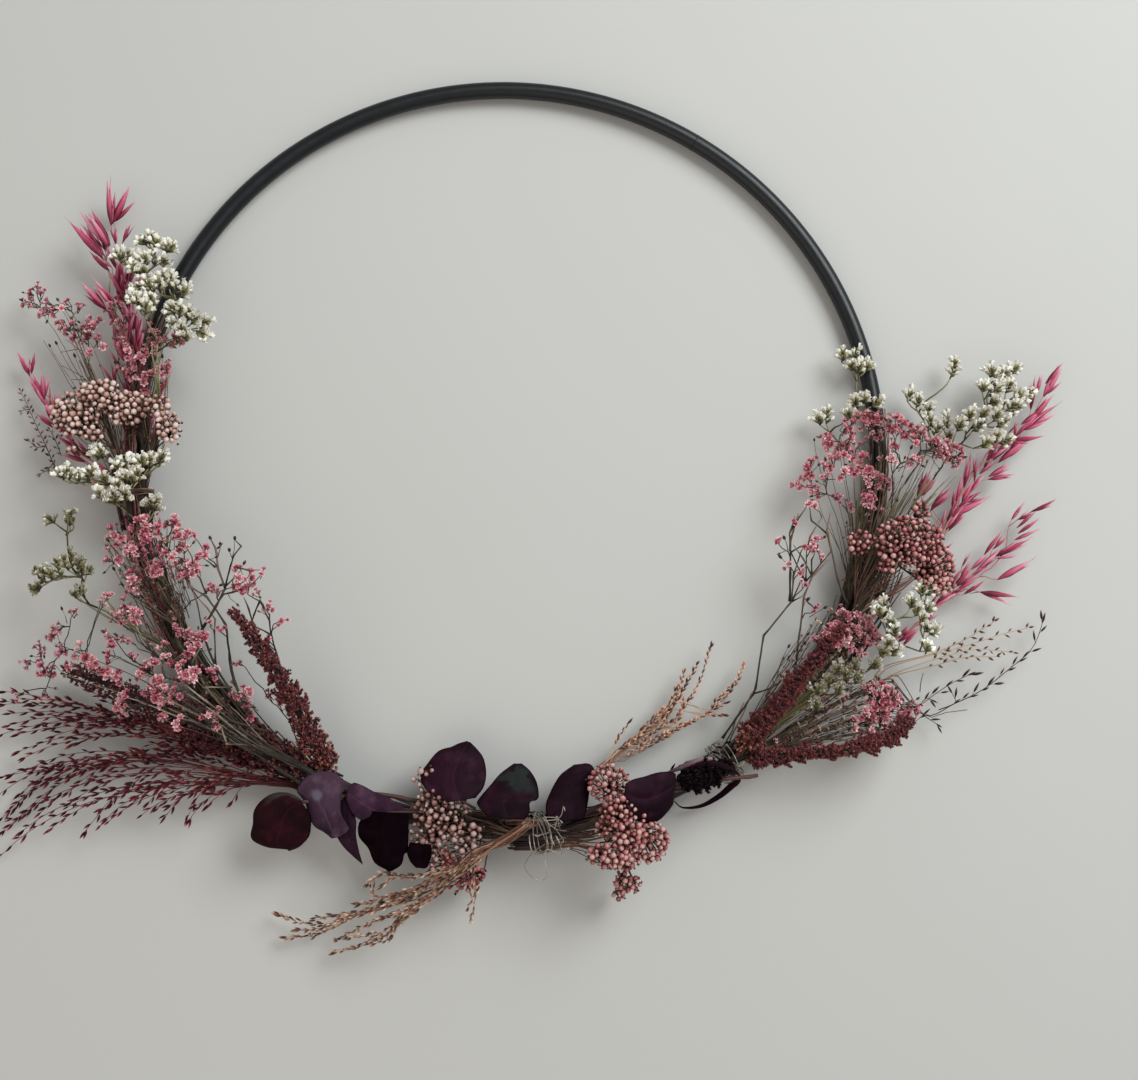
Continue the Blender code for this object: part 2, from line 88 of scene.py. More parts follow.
# the sprigs, in the order a florist lays them: name, kind, the binding that holds it,
# how far off the hoop's centre line it passes there (+ outwards), the route beyond
# (x, y from the hoop's centre), the head's half width and half height, the tip's height
SPRIGS = [
    # left arm, first bunch: pink oats at the back, gypsophila, statice, rice flower
    ("oat_left_tall", "oat", "left_top", -3, [(-142, 9), (-149, 56), (-155, 106)], 8, 3, 9),
    ("oat_left_second", "oat", "left_top", -1, [(-147, 24), (-156, 59), (-170, 87)], 7, 3, 9),
    ("oat_left_outer", "oat", "left_top", 3, [(-167, -3), (-178, 15), (-190, 34)], 7, 3, 8),
    ("gypsophila_left_outer", "gyp", "left_top", 1, [(-154, 5), (-168, 38), (-183, 60)], 11, 4, 10),
    ("gypsophila_left_inner", "gyp", "left_top", -5, [(-140, 5), (-143, 28), (-142, 50)], 13, 4, 12),
    ("statice_left_top", "statice", "left_top", -6.5, [(-134, 4), (-132, 44), (-136, 81)], 18, 4, 14),
    ("rice_flower_left_outer", "rice", "left_top", 5, [(-149, -5), (-155, 10), (-162, 18)], 17, 4, 20),
    ("rice_flower_left_inner", "rice", "left_top", -4, [(-137, -9), (-133, 5), (-131, 15)], 8, 4, 22),
    # left arm, second bunch
    ("statice_left_middle", "statice", "left_middle", -1, [(-138, -44), (-147, -25), (-152, -9)], 20, 4, 24),
    ("gypsophila_left_middle", "gyp", "left_middle", 1, [(-126, -67), (-135, -49), (-139, -31)], 16, 5, 18),
    ("statice_left_low", "statice", "left_middle", 5, [(-144, -68), (-162, -52), (-177, -43)], 13, 4, 10),
    # left arm, third bunch: amaranth spikes and the fan of panic grass
    ("panic_grass_left_upper", "panic", "left_low", 5, [(-112, -116), (-152, -105), (-192, -101)], 13, 3, 6),
    ("panic_grass_left_lower", "panic", "left_low", 6, [(-112, -126), (-155, -131), (-192, -137)], 9, 3, 4),
    ("panic_grass_left_bottom", "panic", "left_low", 7, [(-112, -130), (-155, -144), (-191, -155)], 9, 3, 4),
    ("gypsophila_left_bare", "gyp", "left_low", -3, [(-100, -94), (-110, -66), (-111, -40)], 14, 4, 10),
    ("gypsophila_left_slim", "gyp", "left_low", -5, [(-90, -97), (-95, -75), (-97, -51)], 9, 4, 12),
    ("amaranth_left_inner", "amaranth", "left_low", -2, [(-79, -109), (-88, -94), (-106, -66)], 4.5, 4, 10),
    ("amaranth_left_outer", "amaranth", "left_low", 1, [(-106, -109), (-136, -97), (-172, -87)], 4.5, 4, 10),
    ("gypsophila_left_low_outer", "gyp", "left_low", 4, [(-110, -108), (-146, -90), (-178, -79)], 15, 5, 12),
    ("gypsophila_left_low_inner", "gyp", "left_low", -1, [(-95, -114), (-114, -99), (-135, -84)], 14, 5, 18),
    # right arm, top bunch
    ("oat_right_upper", "oat", "right_top", 4, [(161, -47), (186, -7), (219, 35)], 8, 3, 9),
    ("oat_right_lower", "oat", "right_top", 6, [(150, -73), (182, -48), (216, -19)], 8, 3, 8),
    ("statice_right_inner", "statice", "right_top", -4, [(137, -27), (136, 9), (134, 41)], 7, 3, 10),
    ("statice_right_top", "statice", "right_top", 2, [(151, -24), (166, 5), (174, 37)], 11, 4, 10),
    ("statice_right_outer", "statice", "right_top", 3, [(155, -28), (182, 4), (202, 30)], 13, 4, 12),
    ("gypsophila_right_inner", "gyp", "right_top", -2, [(134, -36), (131, -12), (128, 12)], 16, 4, 14),
    ("gypsophila_right_outer", "gyp", "right_top", 1, [(141, -36), (152, -12), (160, 12)], 13, 4, 16),
    ("rice_flower_right", "rice", "right_top", 0, [(135, -55), (145, -40), (154, -29)], 20, 5, 26),
    # right arm, low bunch
    ("gypsophila_right_tall", "gyp", "right_low", -5, [(94, -93), (110, -74), (111, -11)], 13, 4, 10),
    ("dark_grass_right", "panic", "right_low", 3, [(129, -98), (171, -82), (210, -68)], 11, 2.5, 8),
    ("gypsophila_right_middle", "gyp", "right_low", -3, [(105, -94), (119, -78), (132, -64)], 11, 4, 16),
    ("gypsophila_right_low", "gyp", "right_low", 2, [(110, -111), (133, -101), (156, -98)], 12, 4, 14),
    ("statice_right_low", "statice", "right_low", 0, [(109, -99), (128, -82), (155, -59)], 13, 4, 18),
    ("amaranth_right_outer", "amaranth", "right_low", 4, [(106, -117), (130, -114), (155, -105)], 5, 4, 10),
    ("amaranth_right_inner", "amaranth", "right_low", -1, [(101, -101), (114, -86), (135, -65)], 5, 4, 14),
    # bottom of the hoop: two eucalyptus twigs, copper grass and rice flower, bound last
    ("eucalyptus_twig_left", "twig", "centre", -2, [(-16, -141), (-50, -133), (-80, -135)], 1, 1, 9),
    ("eucalyptus_twig_right", "twig", "centre", 0, [(33, -138), (62, -130), (93, -126)], 1, 1, 9),
    ("copper_grass_right", "copper", "centre", -3, [(35, -123), (58, -104), (79, -79)], 9.5, 2.5, 8),
    ("celosia_right", "celosia", "centre", 2, [(37, -141), (56, -133), (77, -125)], 6, 4, 14),
    ("eucalyptus_leaf_a", "leaf", None, 0, [(-76, -136), (-80, -139), (-97, -146)], 10.5, 0.6, 6),
    ("eucalyptus_leaf_b", "leaf", None, 0, [(-60, -134), (-65, -133), (-79, -131)], 14, 0.6, 12),
    ("eucalyptus_leaf_d", "leaf", None, 0, [(-37, -136), (-42, -135), (-60, -137)], 9, 0.6, 15),
    ("eucalyptus_leaf_e", "leaf", None, 0, [(-35, -139), (-40, -143), (-52, -159)], 13, 0.6, 8),
    ("eucalyptus_leaf_g", "leaf", None, 0, [(-14, -138), (-18, -133), (-28, -113)], 12.5, 0.6, 12),
    ("eucalyptus_leaf_h", "leaf", None, 0, [(-5, -143), (-4, -139), (2, -122)], 12, 0.6, 12),
    ("eucalyptus_leaf_i", "leaf", None, 0, [(19, -143), (20, -140), (26, -123)], 9.5, 0.6, 10),
    ("eucalyptus_leaf_j", "leaf", None, 0, [(43, -139), (45, -140), (62, -137)], 9.5, 0.6, 10),
    ("eucalyptus_leaf_k", "leaf", None, 0, [(68, -127), (72, -132), (84, -132)], 5, 1.5, 8),
    ("rice_flower_centre_left", "rice", "centre", 2, [(-9, -146), (-22, -145), (-33, -136)], 14, 4, 18),
    ("rice_flower_centre_right", "rice", "centre", 4, [(29, -148), (41, -142), (38, -129)], 12, 4, 18),
    ("rice_flower_centre_low", "rice", "centre", 6, [(27, -151), (43, -154), (41, -170)], 13, 4, 10),
    ("copper_grass_left_upper", "copper", "centre", 5, [(-23, -157), (-53, -171), (-88, -184)], 6, 2.5, 6),
    ("copper_grass_left_lower", "copper", "centre", 7, [(-23, -160), (-44, -177), (-66, -194)], 6, 2.5, 5),
]

# oat glumes: base x,y and tip x,y
BLADES = {
    "oat_left_tall": "-156.5,86 -156.5,106; -156.5,86.5 -158,101.5; -156.5,87 -150,102.5; -154.5,78.5 -155,86; -152,79 -148.5,87; -152,63.5 -152.5,72; -153.5,62.5 -153.5,71.5; -150.5,63.5 -149,71.5; -153.5,58 -153,69; -152,59 -149.5,70; -153.5,56 -149,66; -152,35 -155,49; -151,33.5 -152,47.5; -149,41.5 -146,53.5; -146,41 -143.5,49.5; -148.5,45.5 -149,53; -154,24 -158,31; -153,23.5 -154.5,31.5; -138,18 -132,29; -139.5,14 -134.5,24; -141,-1 -141,9; -139,-1 -137.5,11; -138.5,-0.5 -135.5,7; -140,5 -138,18; -138,17 -135.5,22.5; -146,-23 -144.5,-29; -143,-28.5 -146.5,-22; -142,-30 -143.5,-22; -140,-13 -138.5,-10; -135.5,-31.5 -135,-27",
    "oat_left_second": "-156,76 -167.5,90; -156,76.5 -163.5,88; -155.5,76.5 -162.5,90; -156.5,75.5 -161.5,85.5; -158,71.5 -171,85.5; -158,73 -166.5,85; -159.5,75.5 -164,80.5; -155.5,66.5 -163.5,74.5; -154.5,68 -159,72; -157.5,74.5 -160,82; -156,51.5 -165.5,61.5; -153.5,54 -160.5,62.5; -154,52.5 -159,59.5; -155.5,50.5 -163,59; -152.5,52.5 -157.5,59.5",
    "oat_left_outer": "-186,26.5 -191,36; -185.5,27.5 -184.5,36.5; -186,28 -186,32; -180,16.5 -186,26.5; -180.5,18 -184.5,27.5; -180,17 -181.5,29; -178.5,14 -183.5,22.5; -176.5,10 -181.5,19; -176.5,11 -178.5,23; -176,12 -174.5,21; -175,11 -173.5,15.5; -176.5,6.5 -182.5,11.5; -176,7.5 -182,12; -176.5,9 -180,14; -163,-5 -172,2; -162,-5.5 -167,2; -165.5,-6 -170,0; -168.5,-0.5 -175,3; -152.5,-14.5 -159.5,-6; -155,-11 -160.5,-7; -158,-17 -161.5,-12.5",
    "oat_right_upper": "213.5,24 220.5,37.5; 214,24 221,35.5; 208.5,18.5 209.5,31; 208,13.5 218,25; 206.5,11.5 218.5,20.5; 205,10 214.5,14; 201.5,7.5 210,16.5; 201,7.5 201.5,14; 198.5,5.5 212.5,7.5; 199,1.5 204,9.5; 194.5,-3 207.5,8; 192.5,-2 199.5,5; 191,-1.5 192.5,4; 190,-9 199.5,-3.5; 189.5,-10 200.5,-8; 180,-13.5 183,1.5; 184,-11 185,-1; 188.5,-5.5 192,1; 178.5,-20 185,-9; 178.5,-20 187.5,-14.5; 173,-25.5 189.5,-17.5; 174.5,-25 180,-20; 166,-23 174.5,-13; 166.5,-21 173,-15.5; 160.5,-19 166,-6.5; 162.5,-17 169.5,-9",
    "oat_right_lower": "207,-23 217.5,-17.5; 199.5,-26 204.5,-19.5; 202,-26 208,-23.5; 184.5,-46.5 194,-38; 185.5,-46 191,-41; 191,-41 205.5,-34; 192,-41.5 201.5,-40; 191,-38 197,-33; 193,-50 207.5,-42; 179,-56 188,-50.5; 185.5,-55 200,-57; 166.5,-61 176.5,-54.5; 167.5,-59.5 173,-55; 178.5,-45 182.5,-38.5; 151,-75 159.5,-69.5; 151.5,-73.5 156,-68; 153,-76.5 160,-70; 163.5,-67 167.5,-63; 173,-56.5 178.5,-53.5",
}

# statice clusters: foot x,y and top x,y
COMBS = {
    "statice_right_inner": "131,36.5 130.5,42; 136,36.5 136.5,42.5; 137,32 138.5,37; 135,33 134,36.5; 140.5,33 141.5,35.5; 135.5,17.5 135.5,23; 139,19.5 139.5,23; 142.5,18.5 147,22; 133,13 133,18; 124.5,11.5 124.5,19; 122,11 120,15",
    "statice_right_top": "175,30.5 177,39.5; 157.5,21 159,26; 161,18.5 162,24.5; 164,14.5 166.5,20.5; 165.5,9 164.5,16.5; 171.5,8 172.5,17; 168,6 169.5,13; 172.5,4.5 173.5,9.5",
    "statice_right_outer": "189.5,30 190,36; 191.5,28.5 194,34.5; 194.5,30.5 199,34.5; 198.5,32.5 203,36.5; 186,24 186.5,26.5; 188.5,19.5 192,20.5; 188.5,22.5 195,27; 191,24.5 194.5,29; 196,24 198,30; 198.5,22 203,24.5; 202,22.5 208.5,26; 197,17.5 203,19.5; 195.5,16.5 201.5,23; 179,12 181,17; 181,8 185.5,13.5; 189.5,12 191,17; 191.5,10 195.5,14.5; 189,3.5 191.5,8.5; 192,3.5 198,6.5; 185,1.5 188,6; 175,8 176.5,12.5; 184.5,14 186.5,17",
    "statice_right_low": "140.5,-66 140.5,-58.5; 139,-66.5 136.5,-61; 142,-70.5 142.5,-65.5; 143,-74 144,-68; 139.5,-78 141.5,-74.5; 141.5,-80 144.5,-78; 151.5,-62.5 151.5,-58.5; 153.5,-65.5 154.5,-61.5; 155.5,-68 156.5,-65.5; 156.5,-58 156.5,-53; 158.5,-57.5 161,-52.5; 157.5,-63.5 160.5,-62; 157,-71.5 158.5,-68.5; 159,-72.5 161.5,-70; 156,-79 158,-76; 121.5,-88 121.5,-83; 125,-90.5 124,-85.5; 119.5,-93 118,-87; 128,-88 126,-82.5; 128.5,-91 130,-86; 122,-95 123,-91; 115,-95.5 115.5,-91; 134,-85.5 135,-82.5; 115.5,-102 114.5,-96.5; 137,-81 139.5,-78",
    "statice_left_top": "-151,70 -153,74.5; -150.5,69 -150.5,74.5; -149.5,69 -148.5,75.5; -141.5,76.5 -144,80; -140.5,77 -140.5,82.5; -138.5,75.5 -137.5,79.5; -133.5,73 -134.5,79; -133,73 -131,77; -142,66 -145,70; -140,67 -142,72.5; -137.5,67.5 -138.5,74; -135.5,68.5 -131.5,70; -142.5,63 -146,67.5; -140,63.5 -142,65; -136,55.5 -140.5,61; -134,55.5 -137,63; -133,58 -133.5,64; -130.5,57 -131,64; -128.5,55 -126,59.5; -126.5,53.5 -123.5,57.5; -141.5,50 -145.5,54.5; -141,48.5 -140.5,54.5; -138.5,46 -139,52; -135.5,48.5 -138,55; -128,46.5 -130,50; -126,45 -125.5,51; -123,44 -122.5,49.5; -121.5,43 -118.5,46.5; -119,41.5 -114,45; -119.5,40.5 -115.5,39; -127.5,40 -128.5,44.5; -124.5,39 -125.5,42.5; -123.5,36.5 -123,38.5; -139,56.5 -144.5,57.5",
    "statice_left_middle": "-167.5,-16 -169,-11.5; -165.5,-16 -167,-11; -162,-17 -163.5,-12.5; -158.5,-17 -160.5,-11.5; -157.5,-15 -157.5,-12; -152,-18 -153,-13; -147.5,-12.5 -149.5,-8; -145.5,-13 -146,-6.5; -142.5,-12.5 -143.5,-7; -139,-11.5 -139.5,-6; -136.5,-11.5 -136.5,-6; -134,-11 -133.5,-8; -132.5,-10 -131,-4; -142,-17.5 -143,-11.5; -140,-16.5 -140.5,-11; -144.5,-17 -146,-14; -147,-21.5 -148,-16; -153,-23.5 -154.5,-20; -150.5,-24 -151,-20.5; -148,-24.5 -149,-20; -145,-23.5 -144,-19; -135.5,-26.5 -136,-22; -134.5,-27 -133,-21.5; -156,-8 -157,-3; -154,-7.5 -155.5,-3",
    "statice_left_low": "-177,-50.5 -181.5,-48.5; -173,-53 -173.5,-47.5; -172,-56 -180,-56; -171,-54.5 -176.5,-53; -169,-53.5 -169.5,-50; -165.5,-52.5 -168,-44; -163,-50 -166,-43; -162,-49 -162,-41.5; -160,-49.5 -158,-45; -158.5,-51.5 -158,-48; -156.5,-51.5 -154.5,-48; -160.5,-60 -161,-56.5; -159.5,-57.5 -158.5,-55.5; -170,-52.5 -177,-49; -165,-31.5 -169,-26.5; -163,-30 -164.5,-27; -171.5,-31.5 -175,-29.5; -166,-32.5 -167,-28.5",
}

# gypsophila blooms: centre x,y and radius
BLOOMS = {
    "gypsophila_left_outer": "-181.5,57.5,2; -183.5,60.5,1.5; -186,58,1.5; -179,54,1.5; -175.5,51,2; -179.5,49.5,1.5; -171.5,53.5,2; -166.5,52,2; -172.5,43.5,2; -167,39.5,3; -169,42.5,2; -160,44.5,3; -163.5,44,2; -158,38,2.5; -161.5,41.5,2; -160,33.5,1; -187,54,1.5; -184,52.5,1.5",
    "gypsophila_left_inner": "-151,52.5,2; -153.5,50.5,1.5; -146,47.5,1.5; -150.5,45,1.5; -147.5,38,1; -146,33.5,2; -142,30.5,2; -149.5,28,1; -145.5,25,2; -143.5,27,1.5; -137,41,2.5; -134.5,38,2; -129,39.5,2.5; -140,22.5,3; -137,25,2.5; -133.5,27.5,2; -131,28.5,1.5; -139,33.5,1.5; -135,34.5,1.5",
    "gypsophila_left_middle": "-138.5,-32,2.5; -136,-35.5,2.5; -135.5,-39,2; -131.5,-36,2.5; -131,-40.5,2.5; -126,-32,2.5; -122,-37.5,3; -123.5,-40.5,2; -147,-37,2.5; -150,-46,3; -141.5,-49.5,4; -139.5,-56.5,3.5; -133,-48.5,2; -137.5,-43,2.5; -128,-43,2.5; -116,-43.5,2.5; -120,-47.5,2.5; -124,-51,2; -113,-55.5,1; -141.5,-53,2.5; -140.5,-42,2; -126,-47,2; -140.5,-41.5,2; -133,-49,2; -129,-65,1.5; -127,-71,1.5; -120.5,-73,2.5",
    "gypsophila_left_low_outer": "-171.5,-73.5,2; -167.5,-71.5,2.5; -178,-77,1.5; -177,-80,1.5; -164.5,-79.5,2; -183,-83,1.5; -175,-84.5,2; -173,-87,2.5; -170.5,-87,1.5; -157,-79.5,2; -154,-82,3; -182,-95.5,1.5; -173,-95.5,1.5; -159,-84.5,2; -149,-87,2; -145,-89,2; -152,-83,2; -150,-62,1.5; -147.5,-59.5,1; -162.5,-65,1",
    "gypsophila_left_low_inner": "-146.5,-81,2.5; -147.5,-74,2; -142,-76,1.5; -138.5,-81.5,1.5; -134.5,-85.5,2.5; -136,-87.5,1.5; -131.5,-85,2; -129,-79,2.5; -127,-81.5,1.5; -121.5,-85,2.5; -119.5,-88,3; -118,-89.5,2.5; -131,-92.5,3.5; -128,-90.5,2; -129.5,-94.5,3; -127.5,-99,3.5; -124,-95.5,2; -122.5,-105.5,2; -140.5,-96,1.5; -141,-101,1; -143,-100,1.5; -140.5,-64.5,3.5; -142.5,-66,2.5; -138.5,-65,2.5; -144.5,-67.5,1; -138.5,-69,1.5; -111.5,-87,2.5; -99,-100.5,3; -103,-94.5,1.5; -100,-95,2; -114,-103.5,1; -110,-102.5,2; -109.5,-105.5,2; -117.5,-79,2.5; -113.5,-75,2; -117.5,-73.5,2",
    "gypsophila_left_slim": "-91.5,-96,2; -88.5,-97.5,1.5; -91,-63,1; -86.5,-68.5,1.5; -92,-75.5,1.5; -102,-83.5,1.5; -79.5,-119,1; -80.5,-117,1; -93.5,-51,1; -91,-62.5,1; -92,-75,1.5; -94.5,-58,1.5; -86.5,-68,1.5",
    "gypsophila_left_bare": "-103,-48.5,1.5; -102,-52.5,2; -98,-52,2; -100,-55.5,2; -101.5,-56.5,2; -98.5,-54.5,1.5; -115,-36.5,0.5; -106,-36.5,0.5; -116,-42.5,2; -116.5,-45.5,1.5; -119.5,-48,2; -121.5,-51.5,2; -113.5,-68.5,1.5; -109.5,-71.5,1; -112,-55.5,1; -123.5,-37.5,2; -127,-31,2; -111.5,-38.5,0.5; -107,-41.5,0.5",
    "gypsophila_right_inner": "139,14.5,3; 137.5,11.5,2.5; 141,10.5,2.5; 144.5,12.5,2; 143.5,7,2; 133,11,2; 132,9,2; 130,8,2; 132,4.5,2.5; 123.5,2,2.5; 121.5,4,1; 126.5,0,2; 130.5,0.5,2; 128.5,-2.5,2; 132.5,-3.5,2; 125.5,-4,2; 136,-3,2; 116.5,-4.5,2.5; 115,-8,2; 114,-10.5,1.5; 111,-13.5,2; 121.5,-7,1.5; 123.5,-6.5,1.5; 128.5,-9,2.5; 131.5,-8,2; 121.5,-11,1; 116.5,-16.5,2; 118.5,-16.5,1.5; 139,-8,2.5; 141.5,-9,2; 143.5,-11.5,2; 139,-13.5,2; 145.5,-12,1.5; 147,-13.5,2; 138.5,-19,2; 139,-22,2; 132,-21.5,1.5; 127,-19,1; 135.5,14,2; 141.5,13,2",
    "gypsophila_right_outer": "149,12,2.5; 146,9,2; 151.5,9.5,2.5; 154.5,7,2.5; 157,8,2; 158.5,6,2; 155,4,2.5; 160,4.5,1; 148,8,2; 147.5,1.5,1.5; 147,0,1; 164.5,1,2.5; 168.5,-1,3; 171.5,1,2.5; 172.5,-3.5,2; 166.5,-3.5,2; 154.5,-4,1.5; 152.5,-6,1.5; 156,-5,1.5; 146,-4.5,1.5; 165.5,-1,2; 174.5,-1.5,2; 167.5,-1.5,2.5; 164,1.5,2; 173,-5.5,1.5",
    "gypsophila_right_tall": "101,-37,1.5; 115.5,-36,2; 116.5,-39,1.5; 114.5,-38,1.5; 119,-42.5,1.5; 111,-39,1; 105.5,-45.5,1.5; 110,-49,1.5; 112,-53.5,1; 103.5,-36,0.5; 108,-30,1; 103,-43,0.5; 114,-22,2; 113.5,-59,0.5; 117,-62,1",
    "gypsophila_right_middle": "126,-63.5,1.5; 121,-69.5,2; 116.5,-74,1.5; 128,-68,2; 129.5,-69.5,1.5; 133.5,-67,2.5; 137,-66.5,2.5; 126.5,-74,2.5; 133.5,-75,2.5; 137.5,-74,2; 130.5,-86,1.5; 144,-46.5,3; 137.5,-70,1.5; 120,-73.4,2; 122.5,-70.5,1.8; 125.6,-69,2; 128.5,-66.5,1.8; 131.2,-65.7,2; 134,-68,1.8; 136.7,-71.1,2; 139,-75,1.8; 122.1,-76.6,1.8; 126,-74,1.8; 130.5,-71.5,1.8; 133,-75,1.8; 127,-79,1.6; 131,-80.5,1.6; 118,-78.5,1.6",
    "gypsophila_right_low": "127,-97.5,1.5; 141,-95.5,3; 137,-93.5,2; 144,-93.5,2.5; 146.5,-96.5,2.5; 142,-99.5,3; 137.5,-102,2.5; 144.5,-102.5,2.5; 135.5,-103,2; 130,-108,2.5; 133.5,-109.5,2; 137.5,-109.5,2; 146,-109,2.5; 140,-115.5,1.5; 139,-95,3; 142,-97.5,3; 146.5,-95.5,2.5; 150,-96.5,2; 144.5,-100,3; 153.5,-99.5,2; 156.5,-100.5,2; 139,-101,3; 143.5,-103.5,2.5; 149,-101.5,2.5; 151.5,-102.5,2; 154,-102.5,1.5; 139,-105.5,2.5; 146,-108,2.5; 151.5,-106,2; 142.5,-111.5,2.5; 148.5,-109.5,2; 137,-92.5,1.5",
}

# bare forked stems: x,y at each kink
FORKS = {
    "gypsophila_right_tall": "81.5,-112.5 94,-95 94.5,-93 97.5,-72.5 108,-59.5 108,-50 109.5,-44.5; 94,-95 101,-93 109.5,-87; 108,-59.5 111.5,-51 113,-45; 108,-59.5 112,-57.5; 109.5,-85.5 113,-57 115.5,-50 121.5,-43.5; 115.5,-50 111.5,-43 107.5,-38; 115.5,-50 115,-43.5 116,-41; 107,-59.5 107,-49 106.5,-36.5 109.5,-26; 113,-52 106.5,-40 106,-33.5 108,-27; 113,-52 122.5,-40.5 121,-33; 129.5,-60.5 127.5,-56 125.5,-51 122,-38 120.5,-33 122,-25.5; 120.5,-33.5 114.5,-28.5 114,-23.5; 113,-39.5 114,-35 118.5,-27.5; 106,-33.5 109,-28.5 113,-23; 113,-52.5 113,-39.5; 106.5,-41 110.5,-38.5 113,-40; 117,-62 114.5,-60 112,-57",
    "gypsophila_left_bare": "-106.5,-82.5 -108,-69 -114.5,-59 -120,-55.5 -121.5,-53; -116,-70 -111.5,-63 -107.5,-56 -110.5,-48.5 -112,-40.5 -115,-36.5; -107.5,-56 -105.5,-47.5 -105,-43.5 -103,-39.5 -106,-36.5; -107.5,-55.5 -103.5,-51.5; -110.5,-48.5 -115,-45; -112.5,-40 -110.5,-38; -112,-82.5 -112,-67 -114.5,-63 -117.5,-59.5; -116.5,-70.5 -118,-61 -120.5,-53.5; -114.5,-58 -116.5,-52.5 -119,-49.5; -116.5,-47.5 -116,-52",
    "gypsophila_left_slim": "-88,-82.5 -90.5,-73 -91,-68 -94,-61 -98.5,-58.5; -90,-82.5 -94,-77; -90.5,-73 -96.5,-70 -99,-68.5; -96.5,-70 -98.5,-63.5 -100,-59.5; -94.5,-61 -96.5,-66 -97.5,-69; -102.5,-48.5 -98.5,-49.5 -94,-49.5",
    "gypsophila_left_low_inner": "-75,-123.5 -82.5,-121.5 -97,-114 -106,-113.5 -108,-106; -76.5,-123 -87.5,-116 -98,-109; -91,-109 -104,-105 -113,-97.5 -121.5,-90.5; -104.5,-105.5 -114,-107 -122,-103.5; -97,-114 -101,-107.5; -103.5,-92.5 -114,-92.5; -105.5,-112 -105,-108",
}

# rice flower heads: centre x,y, half width, half height, buds
DOMES = {
    "rice_flower_left_outer": "-164,9,9,8,95; -156.5,16.5,6.5,5,42; -146,12,8,6.5,62; -156.5,1,3.5,1.5,8; -165,-3.5,2,1,4; -151.5,19.5,3,1.5,8",
    "rice_flower_left_inner": "-133,11.5,4,4,30; -129,3.5,4,6,40; -132,7.5,2,2,8",
    "rice_flower_right": "133,-37,4.5,4.5,30; 151.5,-37,13.5,9.5,105; 143.5,-46.5,3.5,2.5,14; 162,-46,7.5,9,60; 157.5,-25,3.2,4,14; 165,-52.5,5.5,4,20",
    "rice_flower_centre_left": "-27.5,-138.5,10,12,70; -32,-146,6.5,13.5,38; -33,-126.5,5.5,3,7; -26,-127,2.5,2.5,4; -20,-134,2.5,2.5,6; -17.5,-147.5,5.5,4,14; -19.5,-153,6.5,4,26; -20,-163,8,6.5,60; -27,-158,5,5,24; -14,-163.5,4,4,16",
    "rice_flower_centre_right": "36.5,-129,7.5,7,56; 38.5,-138,6.5,5.5,36; 44,-142.5,5,5,26; 36,-145,5.5,4,22",
    "rice_flower_centre_low": "50,-149.5,7,7.5,62; 42.5,-148.5,5.5,6,34; 34,-154,7,4.5,36; 42,-156.5,4.5,3,16; 41,-165,3,4.5,20; 41,-171.5,2.5,2,8; 45.5,-166,2.5,3,8",
}

# panic grass strands: end x,y
STRANDS = {
    "panic_grass_left_upper": "-194,-94; -192.5,-99; -189.5,-102.5; -193.5,-110.5; -185.5,-110; -185.5,-116.5; -184,-119; -190.5,-107; -184,-97; -180,-99.5; -178,-106.5; -173.5,-111; -126,-115.5; -124,-117.5",
    "panic_grass_left_lower": "-193.5,-127; -189,-125.5; -193,-132.5; -185.5,-132.5; -189.5,-138.5; -177.5,-128; -182,-123; -192,-141.5; -188,-144; -191.5,-146.5; -177.5,-139.5; -167,-132; -183,-140",
    "panic_grass_left_bottom": "-192.5,-156; -184,-146.5; -173,-145.5; -166,-137; -154,-144; -151,-142.5; -153.5,-138; -141.5,-135.5; -138.5,-140; -127.5,-136.5; -121.5,-141; -129.5,-140.5; -135.5,-135; -162.5,-133.5; -120.5,-141.5; -118,-131.5; -111.5,-129.5; -105,-135; -114,-136.5",
}

